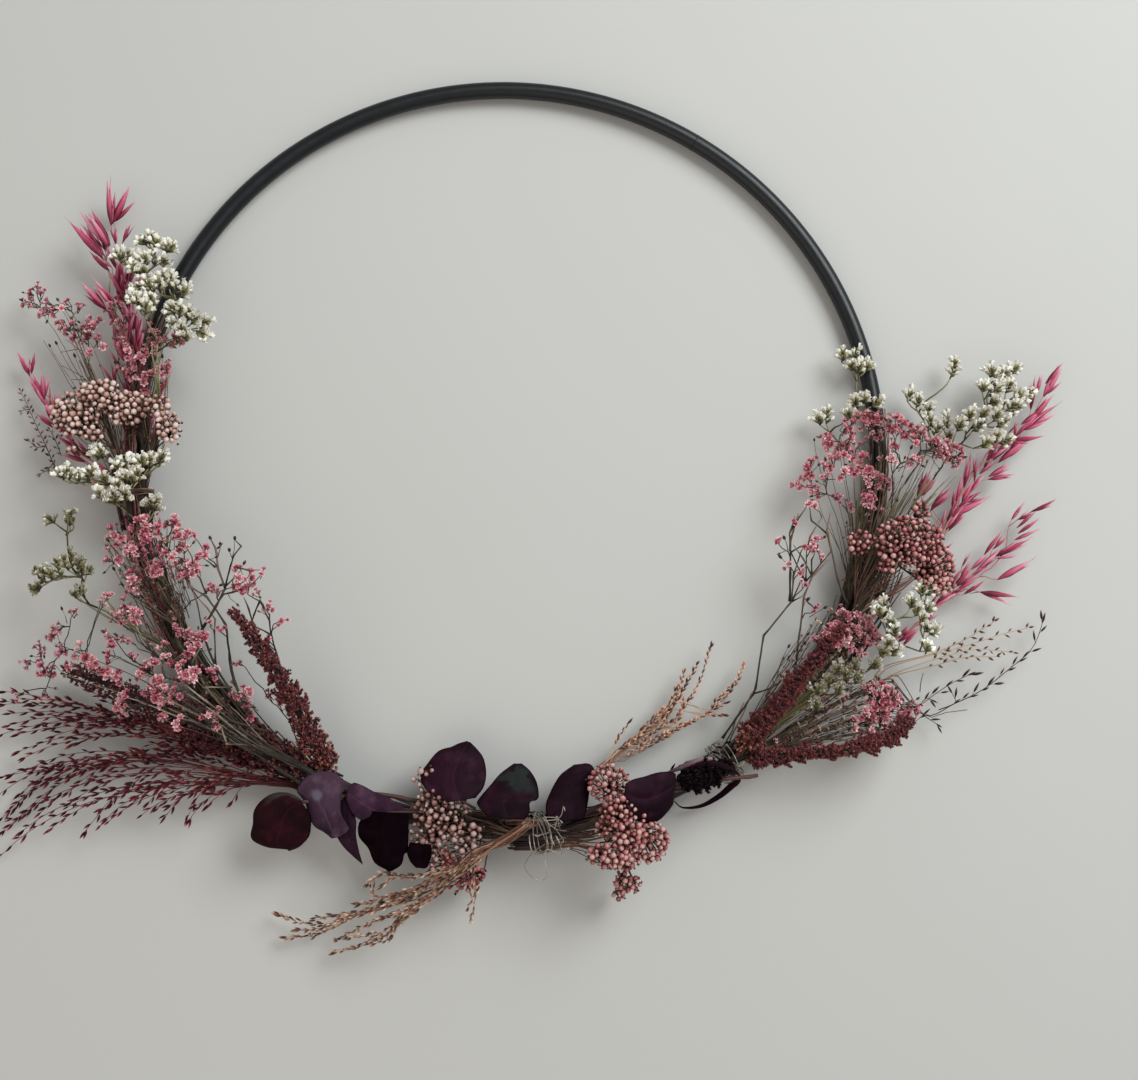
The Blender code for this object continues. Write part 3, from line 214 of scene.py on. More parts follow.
# dark grass and copper grass: x,y along each culm
CULMS = {
    "dark_grass_right": "145.5,-85 165.5,-79.5 178,-74.5 185,-70.5 191.5,-66.5; 147,-85.5 167.5,-79.5 180.5,-76 195,-71.5 205.5,-69; 149,-88 162.5,-83 180.5,-78 190.5,-78 199,-79; 149,-88.5 169,-83.5 178,-81 192,-80.5; 162,-103.5 174.5,-99 186,-93.5 197.5,-85 205.5,-78.5 209,-72.5 211,-67; 158.5,-99.5 167,-95 173.5,-91 180,-88; 162,-103.5 171,-102.5 179.5,-101.5; 161.5,-103.5 167,-107; 160.5,-94.5 161,-90.5 162,-87; 151.5,-110 156.5,-107.5 161.5,-103.5; 168,-101.5 174.5,-99 174.5,-97 173.5,-95; 160,-100 163,-97 165,-97.5",
    "copper_grass_right": "39.5,-115 42,-110.5 45,-106.5; 49,-110.5 53,-106 58,-101.5; 53,-108.5 61,-99 63.5,-94; 56,-108.5 63.5,-96.5 67,-87; 58,-107.5 66,-94.5 72,-84; 61,-107.5 68.5,-98 74,-88 77.5,-76.5; 63,-107.5 65.5,-103 66.5,-98; 63,-108 75,-103.5 79.5,-98 84.5,-93; 75,-103.5 78.5,-101 83,-99; 75.5,-103.5 78.5,-103.5 82,-103.5; 77,-102 83.5,-96 88,-90 90.5,-84; 43,-120 53,-113.5 60.5,-110; 42,-116 49,-111 56,-106; 48,-118.5 58,-112.5 68,-107; 40.5,-117 46,-114 50,-110; 46,-116 53,-111 59.5,-104; 49,-116.5 55,-110 61,-106; 53,-115 60.5,-111 64,-108.5",
    "copper_grass_left_upper": "-27.5,-160.5 -37,-163.5 -48,-162 -54.5,-166; -32.5,-162.5 -43,-163 -48.5,-166.5; -27.5,-164.5 -44.5,-170 -51.5,-170.5 -52,-167.5; -32.5,-166 -47,-171 -54,-173 -57.5,-173.5; -25.5,-165 -39.5,-170.5 -55.5,-176 -64,-177.5 -73.5,-179; -27.5,-167 -44.5,-173.5 -59,-177.5 -68,-181 -78,-181.5 -88,-178.5; -30,-168 -51.5,-176 -61,-179 -69,-182.5 -80.5,-184; -32.5,-167 -42,-171.5 -48,-174 -55.5,-177",
    "copper_grass_left_lower": "-26.5,-168 -30.5,-169.4 -42,-177.8 -46.7,-184.4 -55.3,-189 -66.2,-192.5; -46.7,-184.4 -52,-184 -60,-186; -25.5,-167.5 -32.5,-171 -39.5,-175 -51,-179 -61,-184.5 -66,-187.5; -30,-168.5 -37,-174.5 -42.5,-177.5 -45,-184; -32.5,-172.5 -39.5,-177.5 -46.5,-182 -54,-187; -71,-185 -76,-186 -84.5,-187.5; -27.5,-167 -34.5,-172 -42,-176.5 -48.5,-178; -14,-164 -14,-170.5 -15.5,-177.5; -14,-168.5 -15.5,-171.5 -16.5,-174; -15.5,-170.5 -14,-169.5 -13.5,-168",
}

# leaf outlines: one edge | the other, foot to tip
LEAVES = {
    "eucalyptus_leaf_a": "-76.5,-137.5 -75,-141 -75.5,-147 -78,-150.5 -80.5,-152.5 -83.5,-153.5 | -79,-133.5 -83,-131.5 -88.5,-131.5 -93,-134 -96,-138 -96.5,-143 -97.5,-147 -96.5,-149.5 -91,-152 -85,-152.5 -84,-153",
    "eucalyptus_leaf_b": "-63.5,-126.5 -67.5,-124 -74,-124 -78,-126.5 -80.5,-130.5 -79.5,-132.5 -77.5,-135 -76,-140 -74,-144 -70,-146.5 -67.5,-148.5 | -61.5,-129 -63,-131 -64,-133 -64,-138.5 -62.5,-142 -61,-144.5 -61.5,-146 -64.5,-148",
    # leaf c: its foot end is drawn up beneath leaves b and d as painted shade, a dark sheet filling the gap where those
    # leaves cast their shadow
    "eucalyptus_leaf_c": "-65.5,-135 -66,-141 -66,-147 -63.5,-151.5 -59.5,-155.5 -56,-158.5 | -60.5,-132.5 -59.5,-137.5 -58.5,-143 -58.5,-147.5 -57.5,-153 -56,-158",
    "eucalyptus_leaf_d": "-38,-138.5 -42,-143 -47,-145.5 -52,-145 -56,-142.5 -60,-139.5 -62.5,-134 | -39.5,-138.5 -43,-136 -47,-133.5 -52,-131.5 -56.5,-129 -59.5,-128 -61.5,-129.5",
    "eucalyptus_leaf_e": "-39,-139.5 -39,-150 -39.5,-154 -40.5,-154.5 -41.5,-158.5 -45,-161 | -54,-138.5 -57.5,-143 -57.5,-148 -54,-152.5 -51.5,-158 -46.5,-161",
    "eucalyptus_leaf_f": "-30.5,-151 -30.5,-155 -32,-159.5 -35,-159.5 | -38.5,-150 -39.5,-154 -38,-157.5 -36,-159.5",
    "eucalyptus_leaf_g": "-14,-134 -11,-130 -10,-125 -11,-119.5 -13.5,-116 -16,-113.5 | -25.5,-135.5 -32,-131.5 -35,-126 -32,-121 -28,-116.5 -23,-115 -21,-114 -17.5,-113",
    "eucalyptus_leaf_h": "4.5,-142.5 6.5,-139.5 6.5,-136 9.5,-135 10,-132.5 9,-128 6.5,-124 3.5,-121.5 | -9.5,-141 -13.5,-136.5 -12,-133.5 -8,-129 -4.5,-125 0.5,-121.5",
    "eucalyptus_leaf_i": "27,-142.5 28.5,-137.5 30,-128.5 31.5,-124.5 30,-122 28,-121.5 | 13,-143.5 12.5,-137 14,-133 16,-129 18.5,-125.5 23.5,-122",
    "eucalyptus_leaf_j": "40,-135 43,-140.5 47,-142.5 49.5,-143 53.5,-142 57,-139 59.5,-135.5 60,-131 | 41,-128 44,-126.5 48.5,-125.5 54,-124 59,-124 60.5,-125",
}



# ---------------------------------------------------------------- reading the tables
def rows(text):
    """'x,y x,y; x,y ...' as a list of point arrays"""
    return [np.array([[float(c) for c in p.split(",")] for p in item.split()]) for item in text.split(";")]


def flat(text):
    return [[float(c) for c in item.split(",")] for item in text.split(";")]


def unit(v):
    v = np.asarray(v, float)
    n = np.linalg.norm(v, axis=-1, keepdims=True)
    return v / np.where(n < 1e-9, 1, n)


def rng_for(name):
    return np.random.default_rng(zlib.crc32(name.encode()))


def catmull(points, step):
    pts = np.asarray(points, float)
    pts = np.vstack([2 * pts[0] - pts[1], pts, 2 * pts[-1] - pts[-2]])
    out = []
    for i in range(1, len(pts) - 2):
        p0, p1, p2, p3 = pts[i - 1 : i + 3]
        n = max(2, int(np.linalg.norm(p2 - p1) / step))
        t = (np.arange(n) / n)[:, None]
        out.append(0.5 * (2 * p1 + (p2 - p0) * t + (2 * p0 - 5 * p1 + 4 * p2 - p3) * t**2 + (3 * p1 - 3 * p2 + p3 - p0) * t**3))
    out.append(pts[-2][None])
    return np.vstack(out)


# ---------------------------------------------------------------- the solids underneath
class Body:
    """One solid of the part, asked how high it lies at a place."""

    def __init__(self, name):
        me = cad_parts[name].data
        co = np.empty(len(me.vertices) * 3)
        me.vertices.foreach_get("co", co)
        self.v = co.reshape(-1, 3) * 1000 - CENTRE
        self.tree = BVHTree.FromPolygons([tuple(p) for p in self.v], [tuple(p.vertices) for p in me.polygons])

    def span(self, x, y):
        a = self.tree.ray_cast(Vector((x, y, 300)), Vector((0, 0, -1)))[0]
        b = self.tree.ray_cast(Vector((x, y, -100)), Vector((0, 0, 1)))[0]
        if a is None or b is None:
            d = np.hypot(self.v[:, 0] - x, self.v[:, 1] - y)
            z = float(self.v[np.argsort(d)[:6], 2].mean())
            return z - 0.3, z + 0.3
        return b.z, a.z


class Sprig:
    """A sprig's route as in the part, with the height and breadth of its solid along it."""

    def __init__(self, row):
        self.name, self.kind, tie, off, via, self.half_w, self.half_h, self.tip = row
        self.body = Body(self.name)
        self.rng = rng_for(self.name)
        route = [np.array(p, float) for p in via]
        if tie:
            angle = TIES[tie][0]

            def polar(deg):
                a = math.radians(deg)
                return (R_MID + off) * np.array([math.cos(a), math.sin(a)])

            hold = polar(angle)
            ends = sorted((polar(angle + s * math.degrees(TAIL / R_MID)) for s in (1, -1)), key=lambda p: np.linalg.norm(p - route[0]))
            route = [ends[1], hold, hold + (ends[0] - hold) * LEAVE / TAIL] + route
        self.first = TAIL if tie else 0.0
        self.xy = catmull(route, 0.7)
        self.s = np.concatenate([[0], np.cumsum(np.linalg.norm(np.diff(self.xy, axis=0), axis=1))])
        self.total = float(self.s[-1])
        mid = []
        for x, y in self.xy:
            a, b = self.body.span(x, y)
            mid.append((a + b) / 2)
        mid = np.array(mid)
        pad = np.pad(mid, 4, mode="edge")
        self.z = np.convolve(pad, np.ones(9) / 9, mode="valid")
        d = unit(np.gradient(self.xy, axis=0))
        self.dir = np.column_stack([d, np.gradient(self.z) / np.maximum(np.gradient(self.s), 1e-6)])
        self.dir = unit(self.dir)
        self.side = np.column_stack([-d[:, 1], d[:, 0], np.zeros(len(d))])
        prof = np.array(PROFILES[self.kind])
        self.ps = self.first + prof[:, 0] * (self.total - self.first)
        self.pw = np.maximum(prof[:, 1] * self.half_w, 0.6)
        self.ph = np.maximum(prof[:, 2] * self.half_h, 0.6)

    def at(self, s):
        s = np.atleast_1d(np.clip(s, 0, self.total))
        p = np.column_stack([np.interp(s, self.s, self.xy[:, 0]), np.interp(s, self.s, self.xy[:, 1]), np.interp(s, self.s, self.z)])
        i = np.clip(np.searchsorted(self.s, s), 0, len(self.s) - 1)
        return p, self.dir[i], self.side[i]

    def wide(self, s):
        return np.interp(s, self.ps, self.pw), np.interp(s, self.ps, self.ph)

    def near(self, p):
        d = np.hypot(self.xy[:, 0] - p[0], self.xy[:, 1] - p[1])
        i = int(np.argmin(d))
        return float(self.s[i]), float(d[i])

    def lift(self, x, y, u):
        """A point over x, y, at fraction u of the solid's thickness there."""
        a, b = self.body.span(x, y)
        return np.array([x, y, max(a + (b - a) * u, 0.9)])


# ---------------------------------------------------------------- mesh building
class Build:
    def __init__(self):
        self.v, self.q, self.t, self.c, self.mq, self.mt = [], [], [], [], [], []
        self.n = 0

    def add(self, v, quads, tris, tint, mat):
        v = np.asarray(v, float)
        self.v.append(v)
        self.c.append(np.broadcast_to(tint, (len(v), 3)))
        if len(quads):
            self.q.append(np.asarray(quads) + self.n)
            self.mq.append(np.broadcast_to(mat, (len(quads),)))
        if len(tris):
            self.t.append(np.asarray(tris) + self.n)
            self.mt.append(np.broadcast_to(mat, (len(tris),)))
        self.n += len(v)

    def tube(self, pts, radii, mat, g=0.5, sides=5, b=0.0, r0=0.0, r1=1.0):
        """A round rod along the points, closed at both ends."""
        pts = np.asarray(pts, float)
        n = len(pts)
        d = unit(np.gradient(pts, axis=0))
        ref = np.where(np.abs(d[:, 2:3]) > 0.9, [[1.0, 0, 0]], [[0, 0, 1.0]])
        a = unit(np.cross(d, ref))
        c = np.cross(d, a)
        rad = np.broadcast_to(radii, (n,)).astype(float)[:, None, None]
        ang = np.arange(sides) * 2 * math.pi / sides
        ring = pts[:, None] + rad * (a[:, None] * np.cos(ang)[None, :, None] + c[:, None] * np.sin(ang)[None, :, None])
        v = np.vstack([ring.reshape(-1, 3), pts[:1], pts[-1:]])
        i = np.arange(n - 1)[:, None] * sides
        k = np.arange(sides)[None]
        k2 = (k + 1) % sides
        quads = np.stack([i + k, i + sides + k, i + sides + k2, i + k2], -1).reshape(-1, 4)
        k, k2 = k[0], k2[0]
        tris = np.vstack([np.stack([np.full(sides, n * sides), k, k2], -1), np.stack([np.full(sides, n * sides + 1), (n - 1) * sides + k2, (n - 1) * sides + k], -1)])
        along = np.repeat(np.linspace(r0, r1, n), sides)
        tint = np.column_stack([np.concatenate([along, [r0, r1]]), np.full(len(v), g), np.full(len(v), b)])
        self.add(v, quads, tris, tint, mat)

    def put(self, tpl, at, axis, size, g, b=0.0, mats=(0, 1), spin=None, rng=None, squash=1.0):
        """Copies of a template, its own z along each axis."""
        at = np.atleast_2d(at).astype(float)
        k = len(at)
        z = unit(np.broadcast_to(axis, (k, 3)))
        ref = np.where(np.abs(z[:, 2:3]) > 0.85, [[1.0, 0, 0]], [[0, 0, 1.0]])
        x = unit(np.cross(ref, z))
        y = np.cross(z, x)
        if spin is None:
            spin = rng.uniform(0, 2 * math.pi, k) if rng is not None else np.zeros(k)
        cs, sn = np.cos(spin)[:, None], np.sin(spin)[:, None]
        x, y = x * cs + y * sn, y * cs - x * sn
        size = np.broadcast_to(size, (k,)).astype(float)[:, None]
        sq = np.broadcast_to(squash, (k,)).astype(float)[:, None]
        m = np.stack([x * size * sq, y * size * sq, z * size], 1)
        tv, tq, tt, tr, tm, ttm = tpl
        v = np.einsum("vi,kij->kvj", tv, m) + at[:, None]
        nv = len(tv)
        off = (np.arange(k) * nv)[:, None, None]
        tint = np.empty((k, nv, 3))
        tint[:, :, 0] = tr
        tint[:, :, 1] = np.broadcast_to(g, (k,))[:, None]
        tint[:, :, 2] = np.broadcast_to(b, (k,))[:, None]
        mats = np.array(mats)
        self.v.append(v.reshape(-1, 3))
        self.c.append(tint.reshape(-1, 3))
        if len(tq):
            self.q.append((tq[None] + off).reshape(-1, 4) + self.n)
            self.mq.append(np.tile(mats[tm], k))
        if len(tt):
            self.t.append((tt[None] + off).reshape(-1, 3) + self.n)
            self.mt.append(np.tile(mats[ttm], k))
        self.n += k * nv

    def piece(self, node, mats, label="detail"):
        v = np.vstack(self.v)
        c = np.vstack(self.c)
        # nothing goes below the table
        v[:, 2] = np.maximum(v[:, 2], 0.05)
        q = np.vstack(self.q) if self.q else np.empty((0, 4), int)
        t = np.vstack(self.t) if self.t else np.empty((0, 3), int)
        mesh = bpy.data.meshes.new(node + "_" + label)
        mesh.vertices.add(len(v))
        mesh.vertices.foreach_set("co", ((v + CENTRE) / 1000).astype(np.float32).ravel())
        loops = np.concatenate([q.ravel(), t.ravel()]).astype(np.int32)
        mesh.loops.add(len(loops))
        mesh.loops.foreach_set("vertex_index", loops)
        mesh.polygons.add(len(q) + len(t))
        starts = np.concatenate([np.arange(len(q)) * 4, len(q) * 4 + np.arange(len(t)) * 3]).astype(np.int32)
        mesh.polygons.foreach_set("loop_start", starts)
        index = np.concatenate([np.concatenate(self.mq) if self.mq else np.empty(0, int), np.concatenate(self.mt) if self.mt else np.empty(0, int)])
        mesh.polygons.foreach_set("material_index", index.astype(np.int32))
        mesh.update(calc_edges=True)
        mesh.shade_smooth()
        attr = mesh.color_attributes.new("tint", "FLOAT_COLOR", "POINT")
        rgba = np.ones((len(v), 4), np.float32)
        rgba[:, :3] = c
        attr.data.foreach_set("color", rgba.ravel())
        for m in mats:
            mesh.materials.append(m)
        obj = bpy.data.objects.new(node + "_" + label, mesh)
        bpy.context.scene.collection.objects.link(obj)
        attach(obj, "root")
        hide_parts(node)
        return obj


# ---------------------------------------------------------------- small shapes, unit sized
def lathe(zs, radii, sides, flute=0.0, lobes=5, open_top=False, mat=0, rs=None, wobble=None):
    zs, radii = np.array(zs, float), np.array(radii, float)
    n = len(zs)
    ang = np.arange(sides) * 2 * math.pi / sides
    rr = radii[:, None] * (1 + flute * np.cos(lobes * ang)[None])
    zz = np.broadcast_to(zs[:, None], (n, sides)).copy()
    if wobble is not None:
        zz[-1] += wobble
    v = np.stack([rr * np.cos(ang), rr * np.sin(ang), zz], -1).reshape(-1, 3)
    i = np.arange(n - 1)[:, None] * sides
    k = np.arange(sides)[None]
    k2 = (k + 1) % sides
    quads = np.stack([i + k, i + k2, i + sides + k2, i + sides + k], -1).reshape(-1, 4)
    k, k2 = k[0], k2[0]
    tris = [np.stack([np.full(sides, n * sides), k2, k], -1)]
    extra = [[0, 0, zs[0]]]
    if not open_top:
        tris.append(np.stack([np.full(sides, n * sides + 1), (n - 1) * sides + k, (n - 1) * sides + k2], -1))
        extra.append([0, 0, zs[-1]])
    v = np.vstack([v, extra])
    tris = np.vstack(tris)
    r = v[:, 2].copy() if rs is None else np.concatenate([np.repeat(rs, sides), [rs[0]] + ([] if open_top else [rs[-1]])])
    return v, quads, tris, r, np.full(len(quads), mat), np.full(len(tris), mat)


def join(*parts):
    v, q, t, r, mq, mt, n = [], [], [], [], [], [], 0
    for pv, pq, pt, pr, pmq, pmt in parts:
        v.append(pv), r.append(pr), mq.append(pmq), mt.append(pmt)
        q.append(np.asarray(pq).reshape(-1, 4) + n)
        t.append(np.asarray(pt, int).reshape(-1, 3) + n)
        n += len(pv)
    return np.vstack(v), np.vstack(q), np.vstack(t), np.concatenate(r), np.concatenate(mq), np.concatenate(mt)


def petal(rng, length, width, lean, yaw, curl, foot=0.0):
    """A small ruffled sheet: 4 rows by 3, opening from the axis."""
    rows_, cols = 4, 3
    out = []
    th = lean
    p = np.array([foot, 0.0])
    step = length / (rows_ - 1)
    for i in range(rows_):
        w = width * (0.35, 0.85, 1.0, 0.55)[i]
        for j in range(cols):
            s = j - 1
            ruffle = rng.normal(0, 0.09) * length * (i / (rows_ - 1))
            out.append([p[0] + ruffle * 0.6, s * w * 0.5, p[1] + ruffle + abs(s) * 0.12 * width])
        p = p + step * np.array([math.sin(th), math.cos(th)])
        th += curl / (rows_ - 1)
    v = np.array(out)
    c, s = math.cos(yaw), math.sin(yaw)
    v = v @ np.array([[c, s, 0], [-s, c, 0], [0, 0, 1]])
    q = [[i * cols + j, i * cols + j + 1, (i + 1) * cols + j + 1, (i + 1) * cols + j] for i in range(rows_ - 1) for j in range(cols - 1)]
    r = np.repeat(np.arange(rows_) / (rows_ - 1), cols)
    return v, np.array(q), np.empty((0, 3), int), r, np.zeros(len(q), int), np.empty(0, int)


def bloom(seed):
    """A double gypsophila flower, radius about 1: ruffled petals in three whorls on a green cup."""
    rng = np.random.default_rng(seed)
    parts = [lathe([-0.55, -0.3, 0.0, 0.12], [0.06, 0.2, 0.26, 0.2], 5, mat=1, rs=[0, 0.4, 0.8, 1])]
    for count, lean, size, foot in ((8, 1.25, 0.95, 0.12), (7, 0.8, 0.85, 0.08), (5, 0.35, 0.7, 0.05)):
        turn = rng.uniform(0, 6.28)
        for k in range(count):
            yaw = turn + 2 * math.pi * k / count + rng.normal(0, 0.2)
            parts.append(petal(rng, size * rng.uniform(0.8, 1.15), 0.62 * size, lean + rng.normal(0, 0.2), yaw, rng.uniform(-0.9, 0.8), foot))
    return join(*parts)


def floret(seed):
    """A statice floret, length 1: an olive calyx that opens into a crumpled white papery cup."""
    rng = np.random.default_rng(seed)
    tube = lathe([0, 0.2, 0.45, 0.66], [0.05, 0.12, 0.15, 0.12], 5, mat=1, rs=[0, 0.4, 0.8, 1.0])
    ang = 10
    parts = [tube]
    for k, (rise, spread) in enumerate(((0.98, 0.27), (1.05, 0.14))):
        v, q, t, r, mq, mt = lathe([0.52, 0.7, 0.84, rise], [0.06, 0.14 + 0.02 * k, 0.22 * spread / 0.27, spread], ang, flute=0.28, lobes=5, open_top=True, wobble=rng.normal(0, 0.09, ang), rs=[0, 0.3, 0.7, 1.0])
        v[:, :2] *= rng.uniform(0.75, 1.3, (len(v), 1))
        parts.append((v, q, np.empty((0, 3), int), r, mq, np.empty(0, int)))
    return join(*parts)


# a rice flower bud, its tint 0 at the foot and 1 at the tip: the rice finishes darken the foot as painted shade and
# pale the tip as a painted highlight
BUD = lathe([0.0, 0.1, 0.3, 0.55, 0.78, 0.93, 1.0], [0.1, 0.32, 0.48, 0.5, 0.38, 0.2, 0.05], 10, flute=0.05)
SEED = lathe([0.0, 0.12, 0.35, 0.6, 0.82, 1.0], [0.04, 0.13, 0.19, 0.17, 0.09, 0.01], 6)
TUFT = join(
    lathe([0.0, 0.42, 1.0], [0.14, 0.36, 0.02], 5),
    *[
        (lambda p: (p[0] @ np.array([[1, 0, 0], [0, 1, 0], [0.55 * math.cos(a), 0.55 * math.sin(a), 0.8]]), p[1], p[2], p[3], p[4], p[5]))(lathe([0.0, 1.0], [0.15, 0.01], 3))
        for a in (0.3, 2.4, 4.5)
    ],
)
SPIKELET = join(
    SEED,
    *[
        (lambda p: (p[0] * 0.72 @ np.array([[1, 0, 0], [0, 1, 0], [0.2 * s, 0, 1]]) + np.array([0.04 * s, 0, 0.05 + 0.1 * (s > 0)]), p[1], p[2], p[3], p[4], p[5]))(SEED)
        for s in (-1, 1)
    ],
)
BLOOM_SET = [bloom(k) for k in range(6)]
FLORETS = [floret(k) for k in range(5)]


def blade(m, base, tip, width, mat, g, b, bow=0.12, roll=0.0, dish=0.3, rings=10):
    """A long pointed boat-shaped glume with a thin wall."""
    base, tip = np.asarray(base, float), np.asarray(tip, float)
    length = np.linalg.norm(tip - base)
    d = (tip - base) / length
    side = unit(np.cross([0, 0, 1.0], d))
    up = np.cross(d, side)
    side, up = side * math.cos(roll) + up * math.sin(roll), up * math.cos(roll) - side * math.sin(roll)
    t = np.linspace(0, 1, rings)
    w = np.interp(t, [0, 0.08, 0.25, 0.45, 0.7, 0.88, 1], [0.12, 0.45, 0.92, 1.0, 0.6, 0.22, 0.03]) * width / 2
    line = base + np.outer(t, d) * length + np.outer(np.sin(t * math.pi) * bow * length * 0.5, up)
    th = 0.07 + 0.05 * width
    sx = np.array([-1, -0.6, 0, 0.6, 1, 0.6, 0, -0.6])
    sz = np.array([0, 0.65, 1.0, 0.65, 0, 0.65, 1.0, 0.65]) * dish
    thick = np.array([0, 0, 0, 0, 0, -1, -1, -1]) * th
    v = line[:, None] + side * (w[:, None] * sx)[..., None] + up * ((w[:, None] * 2 * sz) + thick * np.minimum(1, w[:, None] / 0.5))[..., None]
    n = 8
    i = np.arange(rings - 1)[:, None] * n
    k = np.arange(n)[None]
    k2 = (k + 1) % n
    quads = np.stack([i + k, i + n + k, i + n + k2, i + k2], -1).reshape(-1, 4)
    verts = v.reshape(-1, 3)
    caps = np.vstack([verts, line[:1], line[-1:]])
    tris = np.vstack([np.stack([np.full(n, rings * n), k[0], k2[0]], -1), np.stack([np.full(n, rings * n + 1), (rings - 1) * n + k2[0], (rings - 1) * n + k[0]], -1)])
    r = np.concatenate([np.repeat(t, n), [0, 1]])
    m.add(caps, quads, tris, np.column_stack([r, np.full(len(r), g), np.full(len(r), b)]), mat)


# ---------------------------------------------------------------- stems
class Tree:
    """Where the stems of one sprig have got to, so that the next one forks off the nearest."""

    def __init__(self, m, sp, mat, thick, count, spread=1.0, end=0.8, tail=True):
        self.m, self.sp, self.mat, self.rng = m, sp, mat, sp.rng
        self.p, self.s, self.r = [], [], []
        rng = self.rng
        stop = sp.first + end * (sp.total - sp.first)
        for k in range(count):
            a, rad = rng.uniform(0, 2 * math.pi), spread * math.sqrt(rng.uniform(0.1, 1))
            s1 = stop * rng.uniform(0.8, 1.0) if k else stop
            ss = np.arange(rng.uniform(0, 5), s1, 3.0)
            if len(ss) < 4:
                ss = np.linspace(0, s1, 6)
            p, d, n = sp.at(ss)
            w, h = sp.wide(ss)
            fan = np.clip((ss - sp.first - 8) / 30, 0, 1)
            lat = rad * math.cos(a) * (1 + fan * w * 0.35)
            hi = rad * math.sin(a) * (0.9 + fan * h * 0.2)
            wave = rng.normal(0, 0.22, len(ss)) * (ss > sp.first + 6)
            pts = p + n * (lat + wave)[:, None]
            pts[:, 2] += hi
            g = rng.uniform(0, 0.4 if sp.kind == "statice" else 1.0)
            m.tube(pts, np.linspace(thick, thick * 0.6, len(ss)), mat, g, 5)
            for q, s in zip(pts, ss):
                if s > sp.first + 6:
                    self.p.append(q), self.s.append(s), self.r.append(thick * 0.7)

    def note(self, pts, r):
        for q in pts:
            self.p.append(np.asarray(q, float)), self.s.append(self.sp.near(q)[0]), self.r.append(r)

    def grow(self, target, thick, kinks=0, reach=5.0, bend=0.3, arrive=None, back=4.0, far=60.0, sides=4):
        """A stem from the best fork to the target. Returns the way it points there."""
        rng = self.rng
        target = np.asarray(target, float)
        s = self.sp.near(target)[0]
        P, S = np.array(self.p), np.array(self.s)
        d = np.linalg.norm(P - target, axis=1)
        cost = d + np.where(S > s - back, 60 + (S - s) * 2, 0) + np.where(d < reach, 30, 0)
        i = int(np.argmin(cost))
        start = P[i]
        span = target - start
        L = max(np.linalg.norm(span), 0.5)
        _, t0, _ = self.sp.at(S[i])
        t0 = t0[0]
        c1 = start + t0 * L * bend
        end = unit(span) if arrive is None else unit(arrive)
        c2 = target - end * L * bend * 0.8
        n = max(3, int(L / 3.0)) + 1
        t = np.linspace(0, 1, n)[:, None]
        pts = (1 - t) ** 3 * start + 3 * (1 - t) ** 2 * t * c1 + 3 * (1 - t) * t * t * c2 + t**3 * target
        if kinks and n > 3:
            k = rng.normal(0, kinks, (n - 2, 3)) * [1, 1, 0.5]
            pts[1:-1] += k
        r0 = min(self.r[i], thick * 1.25)
        self.m.tube(pts, np.linspace(r0, thick * 0.75, n), self.mat, rng.uniform(), sides)
        for q in pts[1:-1]:
            if np.linalg.norm(q - target) > 2.5:
                self.p.append(q), self.s.append(self.sp.near(q)[0]), self.r.append(thick)
        return unit(pts[-1] - pts[-2])


def filler(m, sp, count, thick, mat, reach=(0.4, 0.85), spread=0.85, bud=None, wander=0.35):
    """Many fine stems that fan from the binding into the head."""
    rng = sp.rng
    for _ in range(count):
        s1 = sp.first + (sp.total - sp.first) * rng.uniform(*reach)
        ss = np.arange(rng.uniform(0, 6), s1, 3.2)
        if len(ss) < 5:
            ss = np.linspace(0, s1, 6)
        p, d, n = sp.at(ss)
        w, h = sp.wide(s1)
        a, rad = rng.uniform(0, 2 * math.pi), 1.1 * math.sqrt(rng.uniform(0.1, 1))
        t = np.clip((ss - sp.first - 5) / max(s1 - sp.first - 5, 1), 0, 1)
        ease = t * t * (3 - 2 * t)
        lat = rad * math.cos(a) * (1 - ease) + ease * rng.uniform(-spread, spread) * w
        up = rad * math.sin(a) * (1 - ease) + ease * rng.uniform(-0.5, 0.8) * h
        walk = np.cumsum(rng.normal(0, wander * 0.35, len(ss))) * (t > 0)
        pts = p + n * (lat + walk)[:, None]
        pts[:, 2] = np.maximum(pts[:, 2] + up, 0.8)
        m.tube(pts, np.linspace(thick, thick * 0.45, len(ss)), mat, rng.uniform(0, 0.4 if sp.kind == "statice" else 1.0), 4)
        if bud and rng.uniform() < bud:
            way = unit(pts[-1] - pts[-2])
            m.put(SEED, pts[-1], way, rng.uniform(1.3, 2.1), rng.uniform(), 1.0, (mat, mat), rng=rng, squash=1.4)


def scatter(m, sp, count, reach, spread, size, mats, high=0.7):
    """Small dried florets and buds held on thin stems all through a bunch."""
    rng = sp.rng
    for _ in range(count):
        s = sp.first + (sp.total - sp.first) * rng.uniform(*reach)
        p, d, n = sp.at(s)
        w, h = sp.wide(s)
        off = w * rng.uniform(-spread, spread)
        q = p[0] + n[0] * off + [0, 0, h * rng.uniform(-0.5, high)]
        q[2] = max(q[2], 1.4)
        back = rng.uniform(5, 12)
        f, _, fn = sp.at(max(s - back, 0.5))
        foot = f[0] + fn[0] * off * 0.72
        foot[2] = max(foot[2], 1.0)
        mid = (foot + q) / 2 + rng.normal(0, 0.5, 3) * [1, 1, 0.5]
        mid[2] = max(mid[2], 1.0)
        m.tube([foot, mid, q], [0.17, 0.15, 0.12], 1, rng.uniform(), 4)
        way = unit(q - mid + [0, 0, rng.uniform(0, 0.8)])
        if rng.uniform() < 0.3:
            m.put(SEED, q, way, rng.uniform(1.4, 2.2), rng.uniform(), 0, (mats[1], mats[1]), rng=rng, squash=1.3)
        else:
            m.put(BLOOM_SET[rng.integers(6)], q, way, rng.uniform(*size), rng.uniform(), 0, mats, rng=rng)


